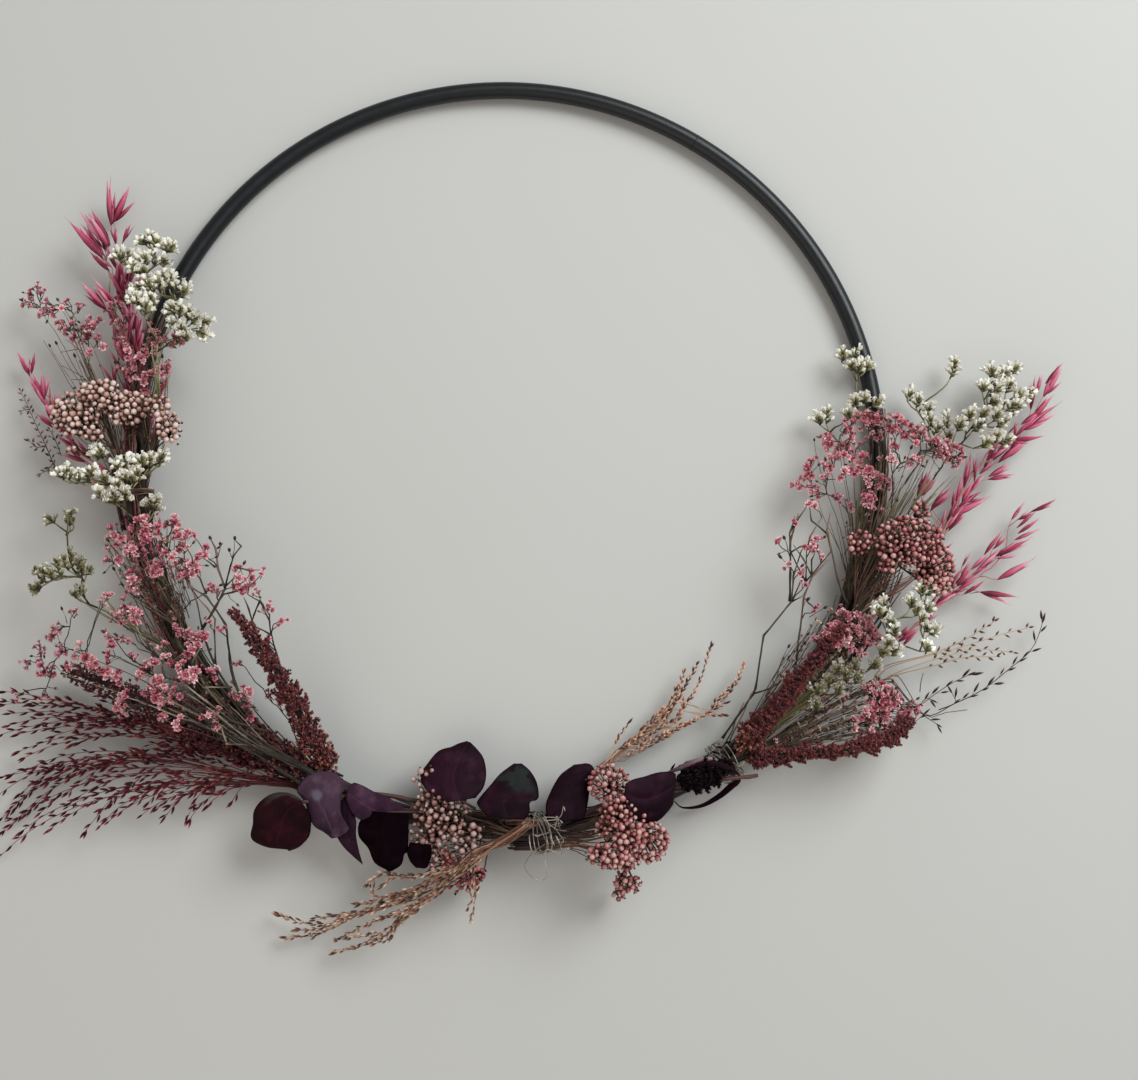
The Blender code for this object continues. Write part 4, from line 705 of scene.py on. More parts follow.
def over_hoop(m, rng, a0, a1, count, half, thick, mat, high=2.6, shift=0.0, ragged=0.25, fan=1.0):
    """Stems laid along the top of the hoop from one angle to another."""
    for _ in range(count):
        b0 = a0 + (a1 - a0) * rng.uniform(0, ragged)
        b1 = a1 - (a1 - a0) * rng.uniform(0, ragged)
        n = max(6, int(abs(b1 - b0) * 0.9))
        t = np.linspace(0, 1, n)
        o = shift + rng.uniform(-half, half) * (1 + (fan - 1) * t) + np.sin(t * rng.uniform(2, 5) + rng.uniform(0, 6)) * 0.9 + rng.normal(0, 0.12, n)
        a = np.radians(b0 + (b1 - b0) * t)
        lay = rng.uniform(0, high)
        over = np.sqrt(np.maximum((TUBE_R + thick) ** 2 - np.minimum(np.abs(o), TUBE_R) ** 2, 0))
        z = HOOP_Z + over + lay - np.maximum(np.abs(o) - TUBE_R, 0) * 0.35 + np.sin(t * 6 + rng.uniform(0, 6)) * 0.3
        z = np.maximum(z, 1.0)
        m.tube(np.column_stack([(R_MID + o) * np.cos(a), (R_MID + o) * np.sin(a), z]), np.linspace(thick, thick * 0.6, n), mat, rng.uniform(), 5)


def thicket(m, rng, a0, a1, half, high, count, size, shift, mats):
    """Small dried flowers caught among the stems on the hoop."""
    for _ in range(count):
        a = math.radians(rng.uniform(a0, a1))
        o = shift + rng.uniform(-half, half)
        z = HOOP_Z + TUBE_R + rng.uniform(0.8, high) - max(abs(o) - TUBE_R, 0) * 0.4
        z = max(z, 2.0)
        p = np.array([(R_MID + o) * math.cos(a), (R_MID + o) * math.sin(a), z])
        tang = np.array([-math.sin(a), math.cos(a), 0]) * (-1 if a0 > 90 and a0 < 270 else 1)
        way = unit(tang + [0, 0, rng.uniform(0.2, 1.2)] + rng.normal(0, 0.4, 3))
        foot = p - way * rng.uniform(2, 5)
        foot[2] = max(foot[2], HOOP_Z)
        m.tube([foot, (foot + p) / 2 + rng.normal(0, 0.25, 3), p], [0.16, 0.14, 0.12], mats[1], rng.uniform(), 4)
        m.put(BLOOM_SET[rng.integers(6)], p, way, rng.uniform(*size), rng.uniform(), 0, mats, rng=rng)


# ---------------------------------------------------------------- the plants
def gypsophila(sp, m):
    rng = sp.rng
    bare = sp.name in ("gypsophila_right_tall", "gypsophila_left_bare", "gypsophila_left_slim")
    tree = Tree(m, sp, 1, 0.42, 2 if bare else 4, 0.9, 0.25 if bare else 0.62)
    if not bare:
        many = {"gypsophila_right_middle": 46, "gypsophila_right_low": 40, "gypsophila_left_low_outer": 12, "gypsophila_left_low_inner": 12}.get(sp.name, 24)
        filler(m, sp, many, 0.23, 1, (0.3, 0.95), 0.9, bud=0.5)
    for line in rows(FORKS.get(sp.name, "")) if sp.name in FORKS else []:
        us = np.linspace(0.35, 0.65, len(line))
        pts = np.array([sp.lift(x, y, u) for (x, y), u in zip(line, us)])
        pts[:, 2] = np.convolve(np.pad(pts[:, 2], 1, mode="edge"), np.ones(3) / 3, mode="valid")
        long = np.linalg.norm(pts[-1] - pts[0])
        r = 0.4 if long > 30 else 0.28
        fine, rad = [], []
        for a, b in zip(pts, pts[1:]):
            n = max(2, int(np.linalg.norm(b - a) / 3))
            for k in range(n):
                t = k / n
                fine.append(a + (b - a) * t + rng.normal(0, 0.06, 3))
                rad.append(r * (1.45 if k == 0 else 1.0))
        fine.append(pts[-1]), rad.append(r * 0.8)
        rad = np.array(rad) * np.linspace(1.05, 0.75, len(rad))
        m.tube(fine, rad, 1, rng.uniform(), 6)
        if long > 12:
            tree.note(fine, r * 0.8)
            if (sp.name in ("gypsophila_left_bare", "gypsophila_left_slim") and pts[0][1] < -60) or (sp.name == "gypsophila_right_tall" and pts[0][1] < -80 and pts[0][0] > 105):
                # the foot of the fork runs on down to the binding
                goal = sp.at(max(sp.first - 2.0, 1.0))[0][0] + rng.normal(0, 0.8, 3) * [1, 1, 0.4]
                way = unit(fine[0] - fine[min(3, len(fine) - 1)])
                gapl = np.linalg.norm(goal - fine[0])
                c1 = fine[0] + way * gapl * 0.45
                t = np.linspace(0, 1, 14)[:, None]
                run = (1 - t) ** 2 * fine[0] + 2 * (1 - t) * t * c1 + t * t * goal
                run[:, 2] = np.maximum(run[:, 2], 1.2)
                m.tube(run, np.linspace(rad[0], 0.42, 14), 1, rng.uniform(), 6)
    order = sorted(flat(BLOOMS[sp.name]), key=lambda e: sp.near(e)[0])
    for x, y, r in order:
        if r < 1.0:
            c = sp.lift(x, y, rng.uniform(0.5, 0.9))
            way = tree.grow(c, 0.16, 0.25)
            m.put(SEED, c - way * 0.4, way, 2.6, 0.2, 0, (1, 1), rng=rng, squash=1.3)
            continue
        c = sp.lift(x, y, rng.uniform(0.35, 1.0))
        c[2] += rng.uniform(-0.5, 1.5)
        way = tree.grow(c - [0, 0, 0.6], 0.22, 0.35, bend=0.35)
        out = unit(way + [0, 0, rng.uniform(0.3, 1.1)] + rng.normal(0, 0.25, 3))
        size = np.clip(r * 0.9, 1.3, 2.1)
        m.put(BLOOM_SET[rng.integers(6)], c, out, size, rng.uniform(), 0, (0, 1), rng=rng)
        for _ in range(int(rng.integers(1, 3)) + (0 if bare else int(rng.integers(1, 3)))):
            a = rng.uniform(0, 2 * math.pi)
            q = c + max(r, 1.7) * rng.uniform(0.7, 1.35) * np.array([math.cos(a), math.sin(a), 0]) - [0, 0, rng.uniform(-0.4, 1.4)]
            q[2] = max(q[2], 1.6)
            foot = c - out * 2.2 - [0, 0, 0.8]
            foot[2] = max(foot[2], 1.0)
            m.tube([foot, (foot + q) / 2 + rng.normal(0, 0.2, 3), q], [0.16, 0.14, 0.14], 1, rng.uniform(), 4)
            m.put(BLOOM_SET[rng.integers(6)], q, unit(q - foot + [0, 0, 0.6]), size * rng.uniform(0.6, 0.95), rng.uniform(), 0, (0, 1), rng=rng)
        if rng.uniform() < (0.5 if not bare else 0.25):
            # a dry bud on its own short stalk
            a = rng.uniform(0, 2 * math.pi)
            q = c + np.array([math.cos(a), math.sin(a), 0]) * rng.uniform(2.5, 4.5) - unit(way) * 2
            q[2] = max(q[2], 1.2)
            f = c - way * rng.uniform(3, 6)
            m.tube([f, (f + q) / 2 + rng.normal(0, 0.3, 3), q], [0.15, 0.12, 0.1], 1, rng.uniform(), 4)
            m.put(SEED, q, unit(q - f), rng.uniform(1.4, 2.2), rng.uniform(), 1.0, (1, 1), rng=rng, squash=1.4)


def statice(sp, m):
    rng = sp.rng
    tree = Tree(m, sp, 1, 0.5, 4, 1.0, 0.55)
    green = sp.name == "statice_left_low"
    filler(m, sp, {"statice_right_low": 18, "statice_left_top": 0, "statice_left_low": 3, "statice_right_top": 3}.get(sp.name, 6), 0.26, 1, (0.3, 0.7), 0.6)
    for line in sorted(rows(COMBS[sp.name]), key=lambda e: sp.near(e[0])[0]):
        foot, top = sp.lift(*line[0], rng.uniform(0.35, 0.6)), sp.lift(*line[1], rng.uniform(0.7, 1.0))
        d = top - foot
        L = max(np.linalg.norm(d), 3.0)
        d = unit(d)
        L = max(L - (3.8 if green else 3.3), L * 0.5)
        dull = 2 if sp.name == "statice_right_low" and line[0][1] < -80 else 0
        tree.grow(foot, 0.36, 0.15, reach=4, arrive=d)
        n = int(np.clip(L / 0.78, 5, 18))
        k = np.arange(n)
        t = 0.12 + 0.88 * k / (n - 1)
        bend = unit(np.cross(d, [0, 0, 1.0]))
        sway = rng.uniform(-0.12, 0.12) * L
        axis_pts = foot + np.outer(np.linspace(0, 1, 6), d * L) + np.outer(np.sin(np.linspace(0, math.pi, 6)) * sway, bend)
        m.tube(axis_pts, np.linspace(0.38, 0.26, 6), 1, rng.uniform(), 5)
        at = foot + np.outer(t, d * L) + np.outer(np.sin(t * math.pi) * sway, bend)
        turn = np.where(k % 2 == 0, 0.0, math.pi) + rng.normal(0, 0.3, n)
        e1 = bend
        e2 = np.cross(d, e1)
        e2 = e2 if e2[2] > 0 else -e2
        face = np.where(k % 4 == 3, 0.8, 0.1) + rng.uniform(-0.15, 0.3, n)
        out = np.outer(np.cos(turn), e1) + np.outer(face, e2)
        lean = np.interp(t, [0, 1], [1.0, 0.25]) + rng.normal(0, 0.12, n)
        ax = np.outer(np.cos(lean), d) + unit(out) * np.sin(lean)[:, None]
        size = rng.uniform(2.6, 3.8, n) if green else rng.uniform(3.1, 4.4, n)
        # olive bracts in a herringbone down the middle
        hand = np.where(k % 2 == 0, 1.0, -1.0)[::2]
        q = at[::2] + e2 * 0.4 + np.outer(hand * 0.35, e1)
        m.put(SEED, q, unit(d + e2 * 0.35 + np.outer(hand * 0.7, e1)), rng.uniform(2.0, 3.0, len(q)), rng.uniform(size=len(q)), 0, (1, 1), rng=rng, squash=1.15)
        kind = rng.integers(0, 5, n)
        if green:
            bud = rng.uniform(size=n) < 0.52
            m.put(SEED, at[bud], ax[bud], size[bud] * 0.8, rng.uniform(size=bud.sum()), 0, (1, 1), rng=rng, squash=1.2)
            kind[bud] = -1
        for s in range(5):
            pick = kind == s
            if pick.any():
                m.put(FLORETS[s], at[pick], ax[pick], size[pick], rng.uniform(size=pick.sum()), 0, (dull, 1), rng=rng)


def rice(sp, m):
    rng = sp.rng
    tree = Tree(m, sp, 1, 0.42, 6, 1.1, 0.5)
    filler(m, sp, {"rice_flower_right": 34, "rice_flower_left_outer": 18}.get(sp.name, 12), 0.26, 1, (0.4, 0.82), 0.75)
    loose = sp.name == "rice_flower_centre_left"
    side = sp.name == "rice_flower_left_outer"
    for cx, cy, rx, ry, count in flat(DOMES[sp.name]):
        count = int(count * 1.5)
        top = sp.lift(cx, cy, 1.0)[2] + (4.0 if sp.name == "rice_flower_centre_right" else 1.0)
        small = min(rx, ry)
        _, back, _ = sp.at(sp.near((cx, cy))[0])
        focus = np.array([cx, cy, top]) - back[0] * small * (1.3 if side else 0.8)
        focus[2] = max(top - small * 0.9 - 3, 2.0)
        tree.grow(focus, 0.4, 0.2, reach=6)
        kept = []
        tries = 0
        gap = 2.35 if loose else 1.9
        while len(kept) < count and tries < count * 60:
            tries += 1
            a, rr = rng.uniform(0, 2 * math.pi), math.sqrt(rng.uniform())
            p = np.array([cx + rr * math.cos(a) * rx, cy + rr * math.sin(a) * ry])
            lay = 0 if tries < count * 30 else 1
            if all(np.hypot(*(p - q[:2])) > gap for q in kept if q[3] == lay):
                z = top - 0.5 * small * rr * rr - lay * 2.0 + rng.uniform(-0.7, 0.7)
                kept.append(np.array([p[0], p[1], z, lay]))
        kept = np.array(kept)
        kept[:, 2] = np.maximum(kept[:, 2], 1.6)
        c = kept[:, :3]
        out = unit(unit(c - focus) + [0, 0, 0.35] + rng.normal(0, 0.25, c.shape))
        size = (rng.uniform(1.3, 2.7, len(c)) if loose else rng.uniform(1.5, 2.55, len(c))) * np.where(kept[:, 3] == 1, 0.8, 1)
        m.put(BUD, c - out * size[:, None] * 0.5, out, size, rng.uniform(size=len(c)), kept[:, 3], (2, 2) if loose and cy < -157 else (0, 0), rng=rng, squash=rng.uniform(0.82, 1.05, len(c)))
        # brown bracts set low between the buds, partly painted shade: their dark brown also stands for the shade in the
        # gaps; and the stalks, which gather in twos and threes
        e = np.repeat(c, 3, axis=0)[rng.uniform(size=3 * len(c)) < 0.6]
        e = e + rng.normal(0, 0.7, e.shape) * [1, 1, 0] - [0, 0, 1.0]
        e[:, 2] = np.maximum(e[:, 2], 1.2)
        m.put(TUFT, e, unit(rng.normal(0, 1, e.shape) + [0, 0, 0.8]), rng.uniform(0.9, 1.5, len(e)), rng.uniform(size=len(e)), 0, (1, 1), rng=rng)
        for k, q in enumerate(c):
            f = q - out[k] * size[k] * 0.45
            mid = focus + (f - focus) * 0.5 + rng.normal(0, 0.5, 3)
            mid[2] = max(mid[2] - 0.6, 1.0)
            m.tube([focus + rng.normal(0, 0.45, 3), mid, f], [0.24, 0.19, 0.16], 1, rng.uniform(), 4)


def oat(sp, m):
    rng = sp.rng
    tree = Tree(m, sp, 1, 0.45, 3, 0.8, 0.72)
    # lower spikelets, crowded along the stem inside the bunch
    crowd = {"oat_left_tall": (34, 0.22, 0.72), "oat_left_second": (20, 0.2, 0.6), "oat_left_outer": (10, 0.3, 0.6), "oat_right_upper": (30, 0.3, 0.95), "oat_right_lower": (16, 0.3, 0.85)}[sp.name]
    for _ in range(crowd[0]):
        s = sp.first + (sp.total - sp.first) * rng.uniform(crowd[1], crowd[2])
        p, d0, n0 = sp.at(s)
        w, h = sp.wide(s)
        o = rng.uniform(-0.4, 0.4) * max(float(w), 3.0)
        f = p[0] + n0[0] * o + [0, 0, rng.uniform(-0.5, 0.5)]
        way = unit(d0[0] + n0[0] * (np.sign(o) * rng.uniform(0.0, 0.45)) + [0, 0, rng.uniform(-0.02, 0.2)])
        size = rng.uniform(8, 12.5)
        e = f + way * size
        f[2], e[2] = max(f[2], 1.0), max(e[2], 1.2)
        g = rng.uniform()
        blade(m, f, e, size * rng.uniform(0.13, 0.17), 0, g, 0.6, bow=0.06, roll=rng.normal(0, 0.6), dish=0.3, rings=10)
        e2 = e + np.cross(way, [0, 0, 1.0]) * rng.uniform(-1.2, 1.2) - way * rng.uniform(0.4, 2)
        blade(m, f, e2, size * 0.13, 0, (g + 0.5) % 1, 0.6, bow=0.04, roll=rng.normal(0, 0.8), dish=0.3, rings=8)
    lines = sorted(rows(BLADES[sp.name]), key=lambda e: sp.near(e[0])[0])
    last = None
    for k, (a, b) in enumerate(lines):
        base = sp.lift(*a, rng.uniform(0.3, 0.7))
        tip = np.array([b[0], b[1], base[2] + rng.uniform(-1.2, 3.0)])
        tip[2] = max(tip[2], 1.5)
        L = np.linalg.norm(tip - base)
        d = unit(tip - base)
        if last is None or np.linalg.norm(base[:2] - last[:2]) > 1.2:
            tree.grow(base, 0.2, 0.1, reach=3, arrive=d, bend=0.35)
        last = base
        width = float(np.clip(0.155 * L, 1.2, 2.7)) * rng.uniform(0.85, 1.1)
        tone = rng.uniform()
        depth = 1.0 if L < 8 else 0.0
        blade(m, base, tip, width, 0, tone, depth, bow=rng.uniform(0.02, 0.1), roll=rng.normal(0, 0.5), dish=rng.uniform(0.2, 0.4), rings=12)
        # the second glume sits close behind, a little shorter
        off = unit(np.cross(d, [0, 0, 1.0])) * rng.choice([-1, 1])
        tip2 = base + (tip - base) * rng.uniform(0.78, 0.95) + off * L * rng.uniform(0.04, 0.1) - [0, 0, rng.uniform(0.3, 1.0)]
        tip2[2] = max(tip2[2], 1.2)
        blade(m, base - d * 0.2, tip2, width * 0.8, 0, (tone + 0.45) % 1, depth, bow=0.04, roll=rng.normal(0, 0.7), dish=0.3, rings=10)
        if L > 5:
            # inner scales that fill the spikelet
            for _ in range(2):
                turn = rng.normal(0, 0.16)
                dd = unit(np.array([d[0] * math.cos(turn) - d[1] * math.sin(turn), d[0] * math.sin(turn) + d[1] * math.cos(turn), d[2] + rng.normal(0, 0.08)]))
                foot = base + dd * rng.uniform(0.5, 2.5) - [0, 0, rng.uniform(0, 1.0)]
                foot[2] = max(foot[2], 1.0)
                end_ = foot + dd * L * rng.uniform(0.55, 0.85)
                end_[2] = max(end_[2], 1.0)
                blade(m, foot, end_, width * rng.uniform(0.55, 0.8), 0, rng.uniform(), depth, bow=0.05, roll=rng.normal(0, 0.8), dish=0.3, rings=8)
        if rng.uniform() < 0.5 and L > 6:
            # an awn from inside the pair
            e = tip + d * rng.uniform(0.5, 2.5) + off * rng.uniform(-0.6, 0.6)
            m.tube([base + (tip - base) * 0.3, base + (tip - base) * 0.75 + off * 0.3, e], [0.14, 0.11, 0.05], 0, rng.uniform(), 4)


def strand(m, rng, pts, r0, r1, mat):
    fine = catmull(pts, 2.5)
    m.tube(fine, np.linspace(r0, r1, len(fine)), mat, rng.uniform(), 4)
    return fine


def seeds(m, rng, line, start, gap, size, mat, wide=1.0, lean=0.45, tpl=SEED, g=None, pedicel=0.8, tip=True, skin=0):
    """Seeds on both sides of a strand from fraction `start` of its length to its end."""
    line = np.asarray(line)
    s = np.concatenate([[0], np.cumsum(np.linalg.norm(np.diff(line, axis=0), axis=1))])
    total = s[-1]
    at = start * total
    k = 0
    P, A, S = [], [], []
    while at < total:
        p = np.array([np.interp(at, s, line[:, i]) for i in range(3)])
        q = np.array([np.interp(min(at + 0.6, total), s, line[:, i]) for i in range(3)])
        r = np.array([np.interp(max(at - 0.6, 0), s, line[:, i]) for i in range(3)])
        d = unit(q - r)
        side = unit(np.cross(d, [0, 0, 1.0])) * (1 if k % 2 else -1)
        ax = unit(d + side * lean * rng.uniform(0.3, 1.5) + [0, 0, rng.normal(0, 0.15)])
        foot = p + ax * pedicel * rng.uniform(0.3, 1.2)
        foot[2] = max(foot[2], 0.8)
        P.append(foot), A.append(ax), S.append(rng.uniform(*size))
        if pedicel > 0.3:
            m.tube([p, foot + ax * 0.2], [0.1, 0.1], mat, 0.5, 3)
        at += gap * rng.uniform(0.6, 1.5)
        k += 1
    if tip:
        P.append(line[-1]), A.append(unit(line[-1] - line[-2])), S.append(rng.uniform(*size))
    if P:
        n = len(P)
        m.put(tpl, np.array(P), np.array(A), np.array(S), rng.uniform(size=n) if g is None else g, 0, (skin, skin), rng=rng, squash=wide * rng.uniform(0.85, 1.1, n))


def from_tie(sp, rng, first, spread=0.8):
    """The run of a culm from its cut end along the sprig up to a point."""
    s1 = max(sp.near(first)[0] - 3, sp.first + 4)
    ss = np.arange(rng.uniform(0, 4), s1, 6.0)
    p, d, n = sp.at(ss)
    lat, up = rng.uniform(-spread, spread), rng.uniform(-spread, spread) * 0.9
    return p + n * lat + [0, 0, up]


def panic(sp, m):
    rng = sp.rng
    upper = sp.name == "panic_grass_left_upper"
    arch = (0, 6) if upper else ((6, 20) if sp.name == "panic_grass_left_lower" else (2, 15))
    ends = [(e[0], e[1], 1) for e in flat(STRANDS[sp.name])]
    for k in range(8 if upper else 1):
        s = sp.first + (sp.total - sp.first) * rng.uniform(0.45, 0.8)
        p, d, n = sp.at(s)
        w, h = sp.wide(s)
        q = p[0] + n[0] * w * rng.uniform(-0.9, 0.9)
        ends.append((q[0], q[1], 0))
    for x, y, listed in ends:
        e = sp.lift(x, y, rng.uniform(0.2, 0.9))
        s_end = sp.near(e)[0]
        s1 = sp.first + min((s_end - sp.first) * 0.3, 28)
        ss = np.arange(rng.uniform(0, 4), s1, 6.0)
        p, d, n = sp.at(ss)
        a, b = rng.uniform(-1.0, 1.0), rng.uniform(-0.9, 0.9)
        head = p + n * a + [0, 0, b]
        st, t0, n0 = sp.at(s1)
        start = st[0] + n0[0] * a
        L = np.linalg.norm(e - start)
        ctrl = start + t0[0] * L * 0.55 + (e - start) * 0.1 + [0, rng.uniform(*arch), 0]
        t = np.linspace(0.12, 1, 9)[:, None]
        arc = (1 - t) ** 2 * start + 2 * (1 - t) * t * ctrl + t * t * e
        arc[:, 2] += np.sin(t[:, 0] * math.pi) * rng.uniform(0, 1.2)
        arc[:, 2] = np.maximum(arc[:, 2], 1.0)
        line = strand(m, rng, np.vstack([head, arc]), 0.24, 0.11, 1)
        # short side branches carry the seeds in loose twos and threes
        cut = int(len(line) * (0.5 if listed else 0.35))
        seeds(m, rng, line, 0.62 if listed else 0.5, 3.7, (2.6, 4.0), 0, wide=0.72, lean=0.32, tpl=SEED, pedicel=0.9)
        for i in range(cut, len(line) - 3, 4):
            if rng.uniform() < (0.36 if upper else 0.3):
                dd = unit(line[i + 1] - line[i])
                sd = unit(np.cross(dd, [0, 0, 1.0])) * rng.choice([-1, 1])
                reach = rng.uniform(5, 13) * (1 - 0.5 * i / len(line))
                q = line[i] + dd * reach + sd * reach * rng.uniform(0.12, 0.3) + [0, 0, rng.uniform(-0.5, 1.0)]
                q[2] = max(q[2], 1.0)
                br = catmull([line[i], line[i] + dd * reach * 0.5 + sd * reach * 0.1, q], 2.0)
                m.tube(br, np.linspace(0.13, 0.08, len(br)), 1, rng.uniform(), 4)
                seeds(m, rng, br, 0.35, 2.7, (2.4, 3.8), 0, wide=0.74, lean=0.3, tpl=SEED, pedicel=0.5)
    if upper:
        # the dense, closer-set red part near the binding
        for _ in range(260):
            s = sp.first + (sp.total - sp.first) * rng.uniform(0.12, 0.5)
            p, d, n = sp.at(s)
            w, h = sp.wide(s)
            q = p[0] + n[0] * w * rng.uniform(-0.9, 0.9) + [0, 0, rng.uniform(-1, 1.6)]
            q[2] = max(q[2], 1.0)
            m.put(SEED, q, unit(d[0] + rng.normal(0, 0.18, 3)), rng.uniform(2.4, 3.6), rng.uniform(), 0, (0, 0), rng=rng, squash=0.8)


def dark_grass(sp, m):
    rng = sp.rng
    for k, xy in enumerate(rows(CULMS[sp.name])):
        pts = np.array([sp.lift(x, y, 0.5) for x, y in xy])
        head = from_tie(sp, rng, pts[0])
        pale = k < 4
        if k in (0, 1, 2, 3, 4, 5, 6, 9):
            line = strand(m, rng, np.vstack([head, pts]), 0.3, 0.14, 1 if pale else 2)
        else:
            line = strand(m, rng, pts, 0.2, 0.12, 2)
        if pale:
            seeds(m, rng, catmull(pts, 2), 0.35, 2.7, (1.4, 2.6), 0, wide=1.1, lean=0.7, g=0.75)
        elif k in (4, 5):
            seeds(m, rng, catmull(pts, 2), 0.25, 3.4, (3.2, 4.8), 0, wide=0.62, lean=0.4, g=0.1, pedicel=2.0)
        elif k in (7, 9, 10, 11):
            seeds(m, rng, catmull(pts, 2), 0.5, 3.2, (2.8, 4.4), 0, wide=0.62, lean=0.5, g=0.1, pedicel=1.0)


def copper(sp, m):
    rng = sp.rng
    left = sp.name != "copper_grass_right"
    tie_point = np.array([6.0, -143.2, sp.at(sp.first)[0][0, 2] + 2.5])
    for k, xy in enumerate(rows(CULMS[sp.name])):
        pts = np.array([sp.lift(x, y, rng.uniform(0.3, 0.9)) for x, y in xy])
        pts[:, 2] = np.convolve(np.pad(pts[:, 2], 1, mode="edge"), np.ones(3) / 3, mode="valid")
        stray = left and xy[0][0] > -18
        for twin in range(1 if stray else 2):
            jit = rng.normal(0, 0.6, (len(pts), 3)) * [1, 1, 0.4] * (twin > 0)
            if left:
                # the straws gather over the top of the hoop under the winding
                a = tie_point + rng.normal(0, 1, 3) * [1.2, 0.8, 0.5]
                w1 = np.array([-4.6, -149.0, a[2] - 0.3]) + rng.normal(0, 0.9, 3) * [1, 1, 0.5]
                w2 = np.array([-15.0, -156.0, a[2] - 2.0]) + rng.normal(0, 1.5, 3) * [0.6, 1, 0.5]
                head = np.array([a, w1, w2])
            else:
                head = from_tie(sp, rng, pts[0], 1.0)
            line = strand(m, rng, np.vstack([head, pts + jit]), 0.3 if left else 0.22, 0.11, 1)
            if left and twin < 2:
                seeds(m, rng, line, 0.3, 3.0, (2.0, 3.2), 0, wide=0.78, lean=0.2, tpl=SEED, pedicel=0.2)
        body = catmull(pts, 2)
        if left:
            seeds(m, rng, body, 0.1, 3.0 if stray else 2.5, (2.0, 3.0) if stray else (2.3, 3.7), 0, wide=0.72, lean=0.3, tpl=SPIKELET, pedicel=0.3)
        else:
            seeds(m, rng, body, 0.05, 1.2, (1.7, 2.9), 0, wide=0.8, lean=0.32, tpl=SPIKELET, pedicel=0.2)


def spike(sp, m, path, count, size, mat=0, lump=0.3, side=0):
    """A dense spike of tiny pointed florets round a line of (x, y, half width)."""
    rng = sp.rng
    path = np.array(path, float)
    fine = catmull(path, 0.8)
    arc = np.concatenate([[0], np.cumsum(np.linalg.norm(np.diff(fine[:, :2], axis=0), axis=1))])
    z = np.array([sp.at(sp.near(q)[0])[0][0, 2] for q in fine])
    half = fine[:, 2] * (1 + 0.16 * np.sin(arc * 0.9 + rng.uniform(0, 6)) + 0.12 * np.sin(arc * 2.3 + rng.uniform(0, 6)))
    tall = np.minimum(half * 0.85, 6.0)
    z = np.maximum(z, tall + 0.6)
    z = np.convolve(np.pad(z, 6, mode="edge"), np.ones(13) / 13, mode="valid")
    d = unit(np.column_stack([np.gradient(fine[:, 0]), np.gradient(fine[:, 1]), np.gradient(z)]))
    n = np.column_stack([-d[:, 1], d[:, 0], np.zeros(len(d))])
    c = np.column_stack([fine[:, :2], z])
    m.tube(c[::3], np.minimum(half, tall)[::3] * 0.42, mat, 0.0, 7, r1=0.2)
    weight = np.cumsum(half + 0.4)
    i = np.searchsorted(weight, rng.uniform(0, weight[-1], count))
    s = arc[i]
    phi = rng.uniform(0, 2 * math.pi, count)
    swell = 1 + lump * np.sin(s * 1.1 + 2.0 * np.sin(phi)) * np.cos(phi * 2 + s * 0.4)
    rad = rng.uniform(0.4, 1.0, count) ** 0.5 * swell
    out = n[i] * np.cos(phi)[:, None] + np.array([0, 0, 1.0]) * np.sin(phi)[:, None]
    at = c[i] + n[i] * (np.cos(phi) * rad * half[i] * 0.85)[:, None]
    at[:, 2] += np.sin(phi) * rad * tall[i] * 0.85
    at[:, 2] = np.maximum(at[:, 2], 0.8)
    ax = unit(out + d[i] * rng.uniform(0.3, 1.3, count)[:, None] + rng.normal(0, 0.3, (count, 3)))
    m.put(TUFT, at, ax, rng.uniform(*size, count), rng.uniform(size=count), rad * 0.5, (mat, mat), rng=rng)
    # short side branchlets that break the outline
    for _ in range(side):
        i = int(len(c) * rng.uniform(0.1, 0.92))
        phi = rng.uniform(-0.5, 0.7) + rng.choice([0, math.pi])
        way = unit(d[i] * rng.uniform(1.0, 2.2) + n[i] * math.cos(phi) + np.array([0, 0, 1.0]) * math.sin(phi))
        foot = c[i] + n[i] * math.cos(phi) * half[i] * 0.6
        L = rng.uniform(3.0, 6.0)
        k = int(L * 7)
        t = rng.uniform(0, 1, k)
        q = foot + np.outer(t * L, way) + rng.normal(0, 0.45, (k, 3)) * (1.15 - t)[:, None]
        q[:, 2] = np.maximum(q[:, 2], 0.8)
        m.put(TUFT, q, unit(way + rng.normal(0, 0.6, (k, 3))), rng.uniform(0.8, 1.5, k), rng.uniform(size=k), 0.4, (mat, mat), rng=rng)
    return c


def amaranth(sp, m):
    Tree(m, sp, 1, 0.45, 3, 0.7, 0.3)
    inner = sp.name in ("amaranth_left_inner", "amaranth_right_inner")
    spike(sp, m, SPIKES[sp.name], {"amaranth_left_outer": 2450, "amaranth_left_inner": 2300}.get(sp.name, 1900), (0.9, 1.7), lump=0.42, side={"amaranth_right_inner": 16, "amaranth_right_outer": 22}.get(sp.name, 12))
    if not inner:
        return
    # coppery old florets round the foot of the spike
    rng = sp.rng
    p = np.array(SPIKES[sp.name])[:3]
    for _ in range(110):
        t = rng.uniform()
        q = p[0] + (p[-1] - p[0]) * t
        a, r = rng.uniform(0, 6.28), q[2] * rng.uniform(0.5, 1.25)
        z = sp.at(sp.near(q)[0])[0][0, 2] + rng.uniform(0, 4)
        m.put(TUFT, [q[0] + r * math.cos(a), q[1] + r * math.sin(a), z], unit([math.cos(a), math.sin(a), rng.uniform(0.2, 1.0)]), rng.uniform(1.2, 2.0), rng.uniform(), 0, (2, 2), rng=rng)


